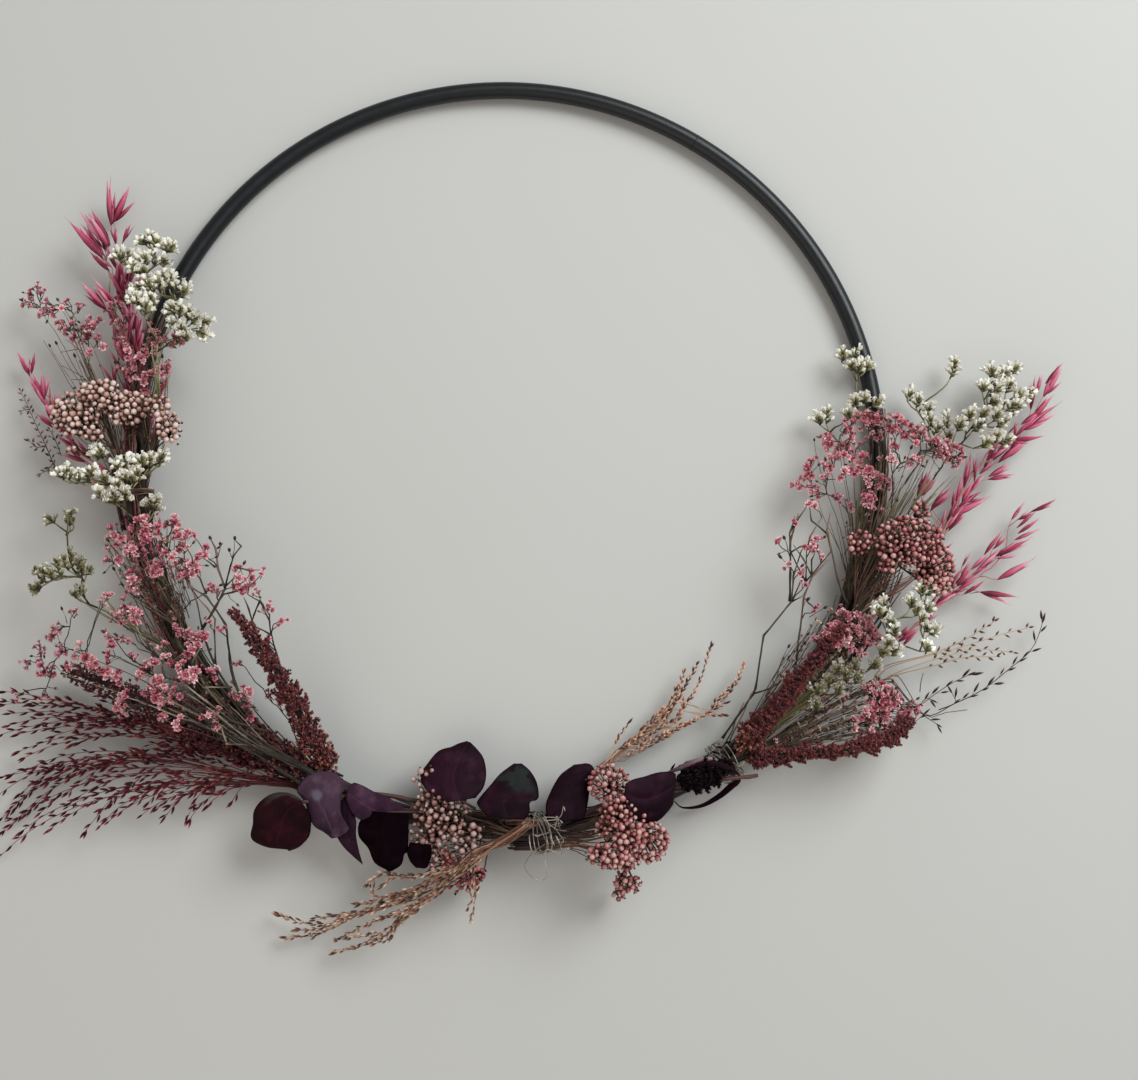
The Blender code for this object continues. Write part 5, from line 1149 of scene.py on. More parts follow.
def celosia(sp, m):
    rng = sp.rng
    Tree(m, sp, 1, 0.5, 3, 0.9, 0.8)
    spike(sp, m, SPIKES[sp.name], 1500, (1.0, 1.9), lump=0.5)
    # the pale flattened stem beside it
    z = sp.at(sp.total)[0][0, 2]
    line = catmull([(57.7, -124.8, z), (63.8, -122.2, z + 2), (69.1, -120.0, z + 3), (74.5, -119.2, z + 3)], 1.5)
    m.tube(line, np.interp(np.linspace(0, 1, len(line)), [0, 0.5, 1], [0.5, 1.15, 0.7]), 2, 0.6, 8)
    # the jagged dark leaf scales above it
    for _ in range(12):
        t = rng.uniform()
        q = np.array([57.0, -125.0, z - 1.5]) + t * np.array([23.0, 10.5, 1.0]) + rng.normal(0, 0.5, 3)
        m.put(SEED, q, unit([0.9, 0.35 + rng.normal(0, 0.5), rng.normal(0, 0.2)]), rng.uniform(2.2, 3.6), 0.1, 0, (0, 0), rng=rng, squash=0.7)


# ---------------------------------------------------------------- leaves and twigs
def edge(points, n):
    p = catmull(points, 1.0)
    s = np.concatenate([[0], np.cumsum(np.linalg.norm(np.diff(p, axis=0), axis=1))])
    t = np.linspace(0, s[-1], n)
    return np.column_stack([np.interp(t, s, p[:, 0]), np.interp(t, s, p[:, 1])])


def leaf(m, key, z0, z1, cup, wave, mat, seed, crease=0.0, roll=0.0, thick=0.36, n=40, k=18, sheen_spot=None):
    """A leathery leaf between two outlines, domed across, wavy at the rim, a true thickness."""
    rng = np.random.default_rng(seed)
    right, left = [edge(rows(side)[0], n) for side in LEAVES[key].split("|")]
    v = np.linspace(0, 1, k)
    t = np.linspace(0, 1, n)
    xy = right[:, None] * (1 - v)[None, :, None] + left[:, None] * v[None, :, None]
    across = 2 * v - 1
    close = 1 - np.abs(across) ** 4
    span = np.linalg.norm(left - right, axis=1)
    z = z0 + (z1 - z0) * t[:, None] + cup * (1 - across[None] ** 2) * np.minimum(1, span / 12)[:, None]
    z += roll * across[None] * np.minimum(1, span / 10)[:, None]
    z -= crease * np.exp(-((across[None] - 0.05) / 0.12) ** 2) * np.sin(np.clip(t * 1.1, 0, 1) * math.pi)[:, None]
    ph = rng.uniform(0, 6.28, 4)
    z += wave * np.abs(across[None]) ** 2 * (np.sin(t * 9 + ph[0])[:, None] + 0.6 * np.sin(t[:, None] * 17 + ph[1] + across[None] * 2))
    z += 0.16 * wave * np.sin(t[:, None] * 30 + ph[2] + 4 * across[None])
    z = np.maximum(z, 0.6)
    # distance to the rim and a soft patch of painted sheen, for the finish
    tt = np.minimum(1, np.minimum(t, 1 - t) * 7)
    rim = np.minimum(close[None] ** 0.5, 1) * tt[:, None] ** 0.5
    patch = np.zeros((n, k))
    # a soft pale patch of painted sheen
    if sheen_spot is not None:
        du, dv = (t[:, None] - sheen_spot[0]) / sheen_spot[2], (v[None] - sheen_spot[1]) / sheen_spot[3]
        turn = np.arctan2(dv, du)
        lobe = 1.0 if sheen_spot[2] > 0.1 else 0.25
        wob = 1 + lobe * 0.28 * np.sin(3 * turn + ph[3]) + lobe * 0.18 * np.sin(5 * turn + ph[0]) + lobe * 0.12 * np.sin(9 * turn + ph[1])
        patch = np.exp(-((du**2 + dv**2) / wob**2) ** (1.3 if lobe == 1 else 0.9))
    top = np.dstack([xy, z])
    gx = np.gradient(top, axis=0)
    gy = np.gradient(top, axis=1)
    normal = unit(np.cross(gx, gy))
    normal *= np.sign(normal[..., 2:3].mean() + 1e-9)
    low_ = top - normal * thick * np.clip(rim + 0.25, 0, 1)[..., None]
    verts = np.vstack([top.reshape(-1, 3), low_.reshape(-1, 3)])
    i = np.arange(n - 1)[:, None] * k
    j = np.arange(k - 1)[None]
    q = np.stack([i + j, i + k + j, i + k + j + 1, i + j + 1], -1).reshape(-1, 4)
    o = n * k
    quads = [q, q[:, ::-1] + o]
    ring = np.concatenate([np.arange(k), (np.arange(1, n) * k + k - 1), (n - 1) * k + np.arange(k - 2, -1, -1), np.arange(n - 2, 0, -1) * k])
    nxt = np.roll(ring, -1)
    quads.append(np.stack([ring, nxt, nxt + o, ring + o], -1))
    tint = np.column_stack([np.tile(rim.ravel(), 2), np.tile(np.broadcast_to(across[None] * 0.5 + 0.5, (n, k)).ravel(), 2), np.tile(patch.ravel(), 2)])
    m.add(verts, np.vstack(quads), [], tint, mat)


def leaf_heights(sp, key):
    """The solid's height at the leaf's foot and tip."""
    right, left = [rows(side)[0] for side in LEAVES[key].split("|")]
    foot, tip = (right[0] + left[0]) / 2, (right[-1] + left[-1]) / 2
    s0, s1 = sp.near(foot)[0], sp.near(tip)[0]
    return float(np.interp(s0, sp.s, sp.z)), float(np.interp(s1, sp.s, sp.z))


def petiole(m, sp, key, mat):
    right, left = [rows(side)[0] for side in LEAVES[key].split("|")]
    foot = (right[0] + left[0]) / 2
    z = float(np.interp(sp.near(foot)[0], sp.s, sp.z))
    p, d, n = sp.at([0.0])
    m.tube([[p[0][0], p[0][1], z - 0.4], [foot[0], foot[1], z - 0.3], [foot[0] + d[0][0] * 3, foot[1] + d[0][1] * 3, z - 0.3]], [0.55, 0.5, 0.3], mat, 0.5, 6)


def ribbon(m, pts, width, tilt, mat, thick=0.4):
    """A narrow curled leaf: a strip that stands on its edge."""
    p = catmull(pts, 1.2)
    n = len(p)
    t = np.linspace(0, 1, n)
    d = unit(np.gradient(p, axis=0))
    side = unit(np.cross(d, [0, 0, 1.0]))
    up = np.cross(side, d)
    ang = np.interp(t, [0, 0.4, 1], tilt)[:, None]
    wv = side * np.cos(ang) + up * np.sin(ang)
    nv = np.cross(d, wv)
    w = (np.sin(np.clip(t * 0.96 + 0.02, 0, 1) * math.pi) ** 0.55 * width / 2)[:, None]
    sec = [(-1, 0), (-0.5, 0.5), (0, 0.7), (0.5, 0.5), (1, 0), (0.5, -0.3), (0, -0.1), (-0.5, -0.3)]
    ring = np.stack([p + wv * w * a + nv * thick * b for a, b in sec], 1)
    k = len(sec)
    i = np.arange(n - 1)[:, None] * k
    j = np.arange(k)[None]
    j2 = (j + 1) % k
    q = np.stack([i + j, i + k + j, i + k + j2, i + j2], -1).reshape(-1, 4)
    v = np.vstack([ring.reshape(-1, 3), p[:1], p[-1:]])
    j, j2 = j[0], j2[0]
    tris = np.vstack([np.stack([np.full(k, n * k), j, j2], -1), np.stack([np.full(k, n * k + 1), (n - 1) * k + j2, (n - 1) * k + j], -1)])
    r = np.concatenate([np.tile([0.1, 0.6, 1, 0.6, 0.1, 0.6, 1, 0.6], n), [0.2, 0.2]])
    m.add(v, q, tris, np.column_stack([r, np.full(len(v), 0.5), np.zeros(len(v))]), mat)


# ---------------------------------------------------------------- finishes
def lin(c):
    return tuple((x / 12.92 if x <= 0.04045 else ((x + 0.055) / 1.055) ** 2.4) for x in (v / 255 for v in c)) + (1.0,)


class Mat:
    """A node material: colour from the organ's own tint plus fine noise, and a fine bump."""

    def __init__(self, name, stops, rough=0.6, noise=900.0, mottle=0.18, bump=0.15, vary=0.0, spec=0.35, sub=0.0, sheen=0.0, coat=0.0, metal=0.0):
        self.m = bpy.data.materials.new(name)
        self.m.use_nodes = True
        self.nt = self.m.node_tree
        self.nodes, self.links = self.nt.nodes, self.nt.links
        self.bsdf = self.nodes["Principled BSDF"]
        b = self.bsdf.inputs
        b["Roughness"].default_value = rough
        b["Specular IOR Level"].default_value = spec
        b["Metallic"].default_value = metal
        b["Coat Weight"].default_value = coat
        b["Sheen Weight"].default_value = sheen
        if sub:
            b["Subsurface Weight"].default_value = sub
            b["Subsurface Radius"].default_value = (0.002, 0.001, 0.001)
            b["Subsurface Scale"].default_value = 0.5
        tint = self.node("ShaderNodeAttribute")
        tint.attribute_name = "tint"
        sep = self.node("ShaderNodeSeparateColor")
        self.link(tint.outputs["Color"], sep.inputs[0])
        self.R, self.G, self.B = sep.outputs[0], sep.outputs[1], sep.outputs[2]
        coord = self.node("ShaderNodeTexCoord")
        self.co = coord.outputs["Object"]
        self.noise = self.tex(noise, 4)
        key = self.math("MULTIPLY_ADD", self.noise, mottle * 2, self.math("MULTIPLY_ADD", self.G, vary, self.math("ADD", self.R, -mottle - vary / 2)))
        self.key = key
        col = self.ramp(key, stops)
        self.colour = col
        rr = self.math("MULTIPLY_ADD", self.noise, 0.24, rough - 0.12)
        self.link(rr, b["Roughness"])
        self.link(col, b["Base Color"])
        fine = self.tex(noise * 2.2, 3)
        bn = self.node("ShaderNodeBump")
        bn.inputs["Strength"].default_value = bump
        bn.inputs["Distance"].default_value = 0.0004
        self.link(fine, bn.inputs["Height"])
        self.link(bn.outputs[0], b["Normal"])
        self.bump = bn

    def node(self, kind):
        return self.nodes.new(kind)

    def link(self, a, b):
        self.links.new(a, b)

    def tex(self, scale, detail):
        n = self.node("ShaderNodeTexNoise")
        n.inputs["Scale"].default_value = scale
        n.inputs["Detail"].default_value = detail
        self.link(self.co, n.inputs["Vector"])
        return n.outputs["Fac"]

    def math(self, op, a, b=0.0, c=0.0):
        n = self.node("ShaderNodeMath")
        n.operation = op
        for i, v in enumerate((a, b, c)):
            if isinstance(v, (int, float)):
                n.inputs[i].default_value = v
            else:
                self.link(v, n.inputs[i])
        return n.outputs[0]

    def ramp(self, fac, stops):
        n = self.node("ShaderNodeValToRGB")
        e = n.color_ramp.elements
        while len(e) < len(stops):
            e.new(0.5)
        for el, (p, c) in zip(e, stops):
            el.position, el.color = p, lin(c)
        self.link(fac, n.inputs[0])
        return n.outputs[0]

    def mix(self, fac, a, b):
        n = self.node("ShaderNodeMix")
        n.data_type = "RGBA"
        if isinstance(fac, (int, float)):
            n.inputs[0].default_value = fac
        else:
            self.link(fac, n.inputs[0])
        for sock, v in ((n.inputs[6], a), (n.inputs[7], b)):
            if isinstance(v, tuple):
                sock.default_value = lin(v)
            else:
                self.link(v, sock)
        return n.outputs[2]

    def paint(self, colour):
        self.link(colour, self.bsdf.inputs["Base Color"])
        self.colour = colour


def band(name, stops, **kw):
    return Mat(name, stops, **kw)


M = {}
M["enamel"] = Mat("hoop_enamel", [(0.0, (7, 9, 11)), (1.0, (15, 18, 21))], rough=0.36, noise=260, mottle=0.3, bump=0.05, spec=0.4).m
M["wire"] = Mat("binding_wire", [(0.0, (106, 94, 83)), (0.5, (149, 138, 125)), (1.0, (181, 174, 165))], rough=0.34, noise=700, mottle=0.3, bump=0.08, metal=0.45, spec=0.5).m

# oats: crimson foot, rose tip, each glume its own shade
oat_m = Mat("oat_glume", [(0.0, (98, 22, 42)), (0.28, (144, 44, 70)), (0.55, (186, 80, 106)), (0.8, (208, 112, 136)), (1.0, (226, 152, 168))], rough=0.6, noise=420, mottle=0.16, vary=0.8, bump=0.3, sub=0.1)
M["oat"] = oat_m.m
M["oat_stem"] = Mat("oat_stem", [(0.0, (150, 120, 96)), (0.6, (182, 130, 120)), (1.0, (190, 96, 116))], rough=0.5, mottle=0.12, vary=0.5).m
M["gyp"] = Mat("gypsophila_petal", [(0.0, (120, 44, 58)), (0.28, (174, 80, 98)), (0.58, (208, 120, 134)), (0.85, (232, 166, 172)), (1.0, (246, 204, 204))], rough=0.7, noise=1500, mottle=0.14, vary=0.5, bump=0.3, sub=0.12).m
M["gyp_stem"] = Mat("gypsophila_stem", [(0.0, (38, 32, 27)), (0.45, (68, 58, 47)), (0.8, (98, 84, 66)), (1.0, (130, 102, 86))], rough=0.7, noise=500, mottle=0.2, vary=0.9, bump=0.25).m
M["gyp_pale"] = Mat("gypsophila_stem_pale", [(0.0, (32, 26, 22)), (0.6, (64, 54, 44)), (0.85, (104, 92, 76)), (1.0, (156, 146, 126))], rough=0.7, noise=500, mottle=0.2, vary=0.95, bump=0.25).m
M["statice"] = Mat("statice_cup", [(0.0, (186, 180, 138)), (0.25, (238, 232, 210)), (1.0, (255, 251, 240))], rough=0.75, noise=1300, mottle=0.1, vary=0.14, bump=0.3, sub=0.08).m
M["statice_green"] = Mat("statice_calyx", [(0.0, (42, 40, 28)), (0.5, (90, 86, 54)), (1.0, (146, 138, 98))], rough=0.65, noise=700, mottle=0.16, vary=0.6, bump=0.25).m
M["statice_dull"] = Mat("statice_cup_dull", [(0.0, (100, 98, 70)), (0.4, (160, 154, 128)), (1.0, (224, 216, 198))], rough=0.75, noise=1300, mottle=0.14, vary=0.6, bump=0.3, sub=0.08).m
# rice flower finish: tone varies from bud to bud, and the ramp also runs from painted shade at a bud's foot to a
# painted highlight at its tip
M["rice_deep"] = Mat("rice_flower_deep", [(0.0, (66, 20, 26)), (0.35, (120, 50, 56)), (0.7, (164, 84, 86)), (1.0, (206, 138, 130))], rough=0.6, noise=900, mottle=0.12, vary=0.6, bump=0.2, sub=0.06).m
M["wisp"] = Mat("gypsophila_seed_head", [(0.0, (62, 48, 42)), (0.5, (110, 88, 78)), (1.0, (158, 130, 118))], rough=0.7, noise=900, mottle=0.15, vary=0.9, bump=0.2).m
M["wire_old"] = Mat("binding_wire_old", [(0.0, (58, 44, 36)), (0.5, (92, 74, 60)), (1.0, (138, 116, 98))], rough=0.45, noise=700, mottle=0.3, bump=0.08, metal=0.3, spec=0.3).m
# rice flower finishes: painted shade at each bud's foot and a painted highlight at its tip, over tone that varies from
# bud to bud
M["rice_cream"] = Mat("rice_flower_cream", [(0.0, (70, 42, 33)), (0.22, (124, 85, 71)), (0.5, (175, 131, 115)), (0.8, (209, 173, 160)), (1.0, (225, 201, 193))], rough=0.6, noise=900, mottle=0.12, vary=0.62, bump=0.2, sub=0.08).m
M["rice_pink"] = Mat("rice_flower_pink", [(0.0, (56, 22, 26)), (0.25, (104, 48, 51)), (0.5, (143, 78, 78)), (0.8, (177, 113, 109)), (1.0, (206, 161, 153))], rough=0.6, noise=900, mottle=0.12, vary=0.66, bump=0.2, sub=0.08).m
M["gyp_old"] = Mat("gypsophila_petal_old", [(0.0, (84, 58, 50)), (0.35, (136, 104, 90)), (0.7, (184, 152, 134)), (1.0, (222, 198, 180))], rough=0.75, noise=1500, mottle=0.14, vary=0.6, bump=0.3, sub=0.08).m
# the rice stalks, and the bracts between the buds, whose dark brown partly stands for shade
M["rice_stem"] = Mat("rice_flower_stem", [(0.0, (28, 18, 15)), (0.6, (66, 44, 34)), (1.0, (112, 80, 62))], rough=0.7, noise=600, mottle=0.2, vary=0.7).m
# rice flower finish: painted shade at each bud's foot and a painted highlight at its tip, over tone that varies from
# bud to bud
M["rice_mix"] = Mat("rice_flower_blush", [(0.0, (56, 29, 27)), (0.22, (97, 58, 54)), (0.5, (138, 94, 88)), (0.8, (167, 129, 120)), (1.0, (187, 160, 152))], rough=0.6, noise=900, mottle=0.12, vary=0.66, bump=0.2, sub=0.1).m
M["amaranth"] = Mat("amaranth_floret", [(0.0, (24, 5, 8)), (0.35, (58, 12, 18)), (0.7, (94, 28, 32)), (1.0, (142, 70, 62))], rough=0.8, noise=1200, mottle=0.16, vary=0.55, bump=0.3, sheen=0.1).m
M["amaranth_old"] = Mat("amaranth_floret_coppery", [(0.0, (54, 20, 17)), (0.5, (104, 50, 42)), (1.0, (166, 106, 88))], rough=0.6, noise=1200, mottle=0.16, vary=0.6, bump=0.3).m
M["amaranth_stem"] = Mat("amaranth_stem", [(0.0, (74, 40, 30)), (1.0, (128, 70, 50))], rough=0.6, noise=600, mottle=0.2, vary=0.4).m
M["celosia"] = Mat("celosia_floret", [(0.0, (3, 2, 3)), (0.5, (9, 5, 7)), (0.85, (18, 10, 14)), (1.0, (70, 48, 56))], rough=0.85, noise=1200, mottle=0.14, vary=0.35, bump=0.3, spec=0.08).m
M["celosia_stem"] = Mat("celosia_stem", [(0.0, (62, 44, 52)), (0.5, (98, 72, 80)), (1.0, (146, 116, 120))], rough=0.6, noise=400, mottle=0.25, vary=0.3, bump=0.25).m
M["dark_stem"] = Mat("dark_stem", [(0.0, (30, 20, 18)), (0.6, (62, 42, 36)), (1.0, (96, 66, 52))], rough=0.6, noise=500, mottle=0.2, vary=0.6).m
M["panic"] = Mat("panic_seed", [(0.0, (34, 7, 13)), (0.45, (70, 17, 26)), (0.8, (108, 36, 40)), (1.0, (150, 80, 72))], rough=0.6, noise=900, mottle=0.14, vary=0.7, bump=0.2, spec=0.15).m
M["panic_stem"] = Mat("panic_stem", [(0.0, (70, 28, 30)), (1.0, (118, 56, 56))], rough=0.6, noise=500, mottle=0.2, vary=0.6).m
M["brown_seed"] = Mat("grass_seed", [(0.0, (30, 14, 18)), (0.5, (72, 42, 42)), (1.0, (132, 92, 80))], rough=0.5, noise=900, mottle=0.14, vary=0.9).m
M["straw"] = Mat("straw_stem", [(0.0, (120, 92, 62)), (0.6, (164, 132, 94)), (1.0, (196, 164, 124))], rough=0.5, noise=500, mottle=0.2, vary=0.5).m
M["copper"] = Mat("copper_spikelet", [(0.0, (50, 28, 22)), (0.35, (101, 61, 45)), (0.7, (160, 117, 92)), (1.0, (220, 193, 169))], rough=0.32, noise=700, mottle=0.16, vary=1.0, bump=0.15, coat=0.4).m
M["copper_deep"] = Mat("copper_spikelet_deep", [(0.0, (42, 20, 16)), (0.35, (98, 54, 40)), (0.7, (154, 96, 70)), (1.0, (222, 172, 138))], rough=0.32, noise=700, mottle=0.16, vary=1.0, bump=0.15, coat=0.4).m
M["copper_stem"] = Mat("copper_stem", [(0.0, (96, 61, 46)), (0.5, (155, 114, 90)), (1.0, (210, 180, 155))], rough=0.38, noise=500, mottle=0.2, vary=0.9, coat=0.25).m
M["twig"] = Mat("eucalyptus_twig", [(0.0, (40, 24, 24)), (1.0, (84, 54, 48))], rough=0.6, noise=400, mottle=0.2, vary=0.4).m


def leaf_mat(name, dark, base, light, rim, grey=None, rough=0.5, vein=0.5, spec=0.06):
    """R of the tint is 0 at the rim and 1 inside; G runs across; B is a soft grey patch of painted sheen."""
    a = Mat(name, [(0.0, dark), (1.0, base)], rough=rough + 0.12, noise=120, mottle=0.4, bump=0.35, spec=spec)
    big = a.tex(55, 5)
    body = a.mix(a.ramp(big, [(0.35, (0, 0, 0)), (0.62, (255, 255, 255))]), dark, base)
    body = a.mix(a.ramp(a.tex(160, 6), [(0.5, (0, 0, 0)), (0.8, (255, 255, 255))]), body, light)
    # side veins: fine slanting lines, and the midrib
    w = a.node("ShaderNodeTexWave")
    w.inputs["Scale"].default_value = 70
    w.inputs["Distortion"].default_value = 6
    w.inputs["Detail"].default_value = 3
    a.link(a.co, w.inputs["Vector"])
    veins = a.ramp(w.outputs["Fac"], [(0.82, (0, 0, 0)), (1.0, (150, 150, 150))])
    body = a.mix(a.math("MULTIPLY", veins, vein * 0.5), body, light)
    mid = a.math("ABSOLUTE", a.math("ADD", a.G, -0.5))
    midrib = a.ramp(mid, [(0.0, (255, 255, 255)), (0.025, (0, 0, 0))])
    body = a.mix(a.math("MULTIPLY", midrib, vein), body, light)
    edge_ = a.ramp(a.R, [(0.0, (255, 255, 255)), (0.28, (0, 0, 0))])
    body = a.mix(a.math("MULTIPLY", edge_, 0.75), body, rim)
    # the grey patch is painted sheen
    if grey:
        spread = a.ramp(a.math("MULTIPLY_ADD", a.tex(230, 4), 0.7, a.math("ADD", a.B, -0.35)), [(0.3, (0, 0, 0)), (0.75, (255, 255, 255))])
        body = a.mix(a.math("MULTIPLY", spread, a.math("MINIMUM", a.math("MULTIPLY", a.B, 1.6), 1.0)), body, grey)
    a.paint(body)
    return a.m


M["leaf_a"] = leaf_mat("eucalyptus_leaf_maroon", (20, 5, 9), (35, 9, 16), (56, 18, 27), (17, 6, 9), (53, 50, 46))
M["leaf_b"] = leaf_mat("eucalyptus_leaf_grey", (43, 26, 39), (69, 48, 62), (96, 75, 87), (31, 17, 28), (91, 85, 96), vein=0.4)
# leaf c: the narrow leaf's own dark colour, which also serves as painted shade where its drawn-out foot fills the
# shadow of leaves b and d
M["leaf_c"] = leaf_mat("eucalyptus_leaf_narrow_and_shade", (21, 10, 19), (36, 17, 29), (52, 28, 41), (15, 7, 14))
M["leaf_d"] = leaf_mat("eucalyptus_leaf_purple", (40, 19, 35), (59, 35, 51), (82, 54, 71), (27, 11, 24), (94, 77, 87))
M["leaf_e"] = leaf_mat("eucalyptus_leaf_black", (6, 1, 4), (13, 4, 8), (25, 8, 15), (5, 1, 4), rough=0.6, spec=0.02)
M["leaf_g"] = leaf_mat("eucalyptus_leaf_plum", (23, 7, 16), (39, 14, 27), (59, 30, 44), (12, 4, 9), (72, 51, 61))
M["leaf_h"] = leaf_mat("eucalyptus_leaf_tip", (19, 6, 13), (34, 11, 22), (50, 22, 35), (11, 4, 8), (35, 39, 38))
M["leaf_i"] = leaf_mat("eucalyptus_leaf_dark", (17, 5, 11), (28, 9, 20), (43, 20, 32), (8, 3, 6))
M["leaf_j"] = leaf_mat("eucalyptus_leaf_violet", (20, 6, 13), (35, 12, 25), (53, 25, 39), (10, 4, 7), (55, 35, 46))


# ---------------------------------------------------------------- the hoop and the windings
def hoop():
    m = Build()
    n, k = 256, 24
    a = np.arange(n) * 2 * math.pi / n
    b = np.arange(k) * 2 * math.pi / k
    r = R_MID + TUBE_R * np.cos(b)[None]
    v = np.stack([r * np.cos(a)[:, None], r * np.sin(a)[:, None], np.broadcast_to(HOOP_Z + TUBE_R * np.sin(b)[None], (n, k))], -1).reshape(-1, 3)
    i = np.arange(n)[:, None]
    j = np.arange(k)[None]
    q = np.stack([i * k + j, ((i + 1) % n) * k + j, ((i + 1) % n) * k + (j + 1) % k, i * k + (j + 1) % k], -1).reshape(-1, 4)
    tint = np.column_stack([np.tile(b / 6.2832, n), np.full(n * k, 0.5), np.zeros(n * k)])
    m.add(v, q, [], tint, 0)
    # the butt weld, a low bead round the tube
    w = np.linspace(0, 2 * math.pi, 33)
    ang = math.radians(60.0)
    rr = R_MID + (TUBE_R + 0.02) * np.cos(w)
    m.tube(np.column_stack([rr * math.cos(ang), rr * math.sin(ang), HOOP_Z + (TUBE_R + 0.02) * np.sin(w)]), 0.16, 0, 0.5, 6)
    m.piece("hoop", [M["enamel"]])


def hull2(p):
    p = p[np.lexsort((p[:, 1], p[:, 0]))]

    def half(pts):
        out = []
        for q in pts:
            while len(out) > 1 and np.cross(out[-1] - out[-2], q - out[-2]) <= 0:
                out.pop()
            out.append(q)
        return out[:-1]

    return np.array(half(p) + half(p[::-1]))


def winding(tie, angle, turns):
    name = "binding_wire_" + tie
    body = Body(name)
    rng = rng_for(name)
    r = np.hypot(body.v[:, 0], body.v[:, 1])
    h = hull2(np.column_stack([r, body.v[:, 2]]))
    c = h.mean(axis=0)
    h = c + (h - c) * (1 - 0.22 / np.linalg.norm(h - c, axis=1, keepdims=True)) * ([0.8, 0.94] if tie == "centre" else [0.86, 0.72] if tie == "left_low" else 1.0)
    h = np.vstack([h, h[:1]])
    s = np.concatenate([[0], np.cumsum(np.linalg.norm(np.diff(h, axis=0), axis=1))])
    ang_v = np.degrees(np.arctan2(body.v[:, 1], body.v[:, 0])) % 360
    a0, a1 = ang_v.min(), ang_v.max()
    m = Build()
    open_ = tie in ("centre", "right_low")
    for st in range(4 if open_ else 2):
        loops = (1.7 if open_ else turns * 0.8) + 0.5 * (st % 2)
        n = int(loops * 40)
        t = np.linspace(0, 1, n)
        u = (t * loops + 0.21 * st) % 1.0
        rr = np.interp(u * s[-1], s, h[:, 0])
        zz = np.interp(u * s[-1], s, h[:, 1])
        skew = (1.1 if open_ else 0.3) * (1 if st % 2 else -1)
        sway = np.sin(t * loops * 2 * math.pi + rng.uniform(0, 6)) * skew
        prog = t if st % 2 == 0 else 1 - t
        aa = np.radians(a0 + 0.8 + (a1 - a0 - 1.6) * prog + sway)
        out = 0.22 * st
        rr = c[0] + (rr - c[0]) * (1 + out / 5)
        zz = c[1] + (zz - c[1]) * (1 + out / 5)
        k = np.ones(9) / 9
        rs = np.convolve(np.pad(rr, 4, mode="edge"), k, mode="valid")
        zs = np.convolve(np.pad(zz, 4, mode="edge"), k, mode="valid")
        pts = np.column_stack([rs * np.cos(aa), rs * np.sin(aa), np.maximum(zs, 0.3)])
        m.tube(pts, 0.2, 0, rng.uniform(), 8)
        if st > 1 or not open_:
            continue
        # the twisted end, laid back along the stems
        e = pts[-1]
        tang = np.array([-math.sin(aa[-1]), math.cos(aa[-1]), 0]) * (1 if prog[-1] > 0.5 else -1)
        radial = np.array([math.cos(aa[-1]), math.sin(aa[-1]), 0])
        top = max(e[2], c[1] + 1)
        long = 6.0 if tie in ("centre", "right_low") else 3.0
        tt = np.linspace(0, 1, 24)
        for ph in (0, math.pi):
            w = np.array([e + tang * long * x + radial * (0.3 * math.sin(x * 22 + ph)) * min(1, x * 4) + np.array([0, 0, 1]) * ((top + 0.5 - e[2]) * min(1, x * 5) + 0.3 * math.cos(x * 22 + ph) * min(1, x * 4)) for x in tt])
            m.tube(w, 0.2, 0, rng.uniform(), 6)
    if tie == "centre":
        # the thin loose loop left at the binding
        a = math.radians(angle)
        rad, tan = np.array([math.cos(a), math.sin(a), 0]), np.array([-math.sin(a), math.cos(a), 0])
        top = body.v[:, 2].max()
        o = rad * (R_MID + 4) + np.array([0, 0, top + 0.2])
        loop = [o + tan * 1.0, o + tan * -4 + rad * 3, o + tan * -7 + rad * 8, o + tan * -3 + rad * 13 - [0, 0, 1.5], o + tan * 1 + rad * 12 - [0, 0, 1.5], o + tan * 0.5 + rad * 6]
        lp = catmull(loop, 0.8)
        m.tube(lp, 0.2, 0, 0.7, 6)
        # the snipped tangle beside the binding
        for _ in range(9):
            g0 = o + tan * rng.uniform(5, 11) - rad * rng.uniform(0, 8) - [0, 0, rng.uniform(0, 1.5)]
            walk = [g0]
            for _ in range(5):
                walk.append(walk[-1] + rng.normal(0, 2.0, 3) * [1, 1, 0.35])
            w = catmull(walk, 0.8)
            m.tube(w, 0.17, 0, rng.uniform(), 5)
    m.piece(name, [M["wire" if tie in ("centre", "right_low") else "wire_old"]])


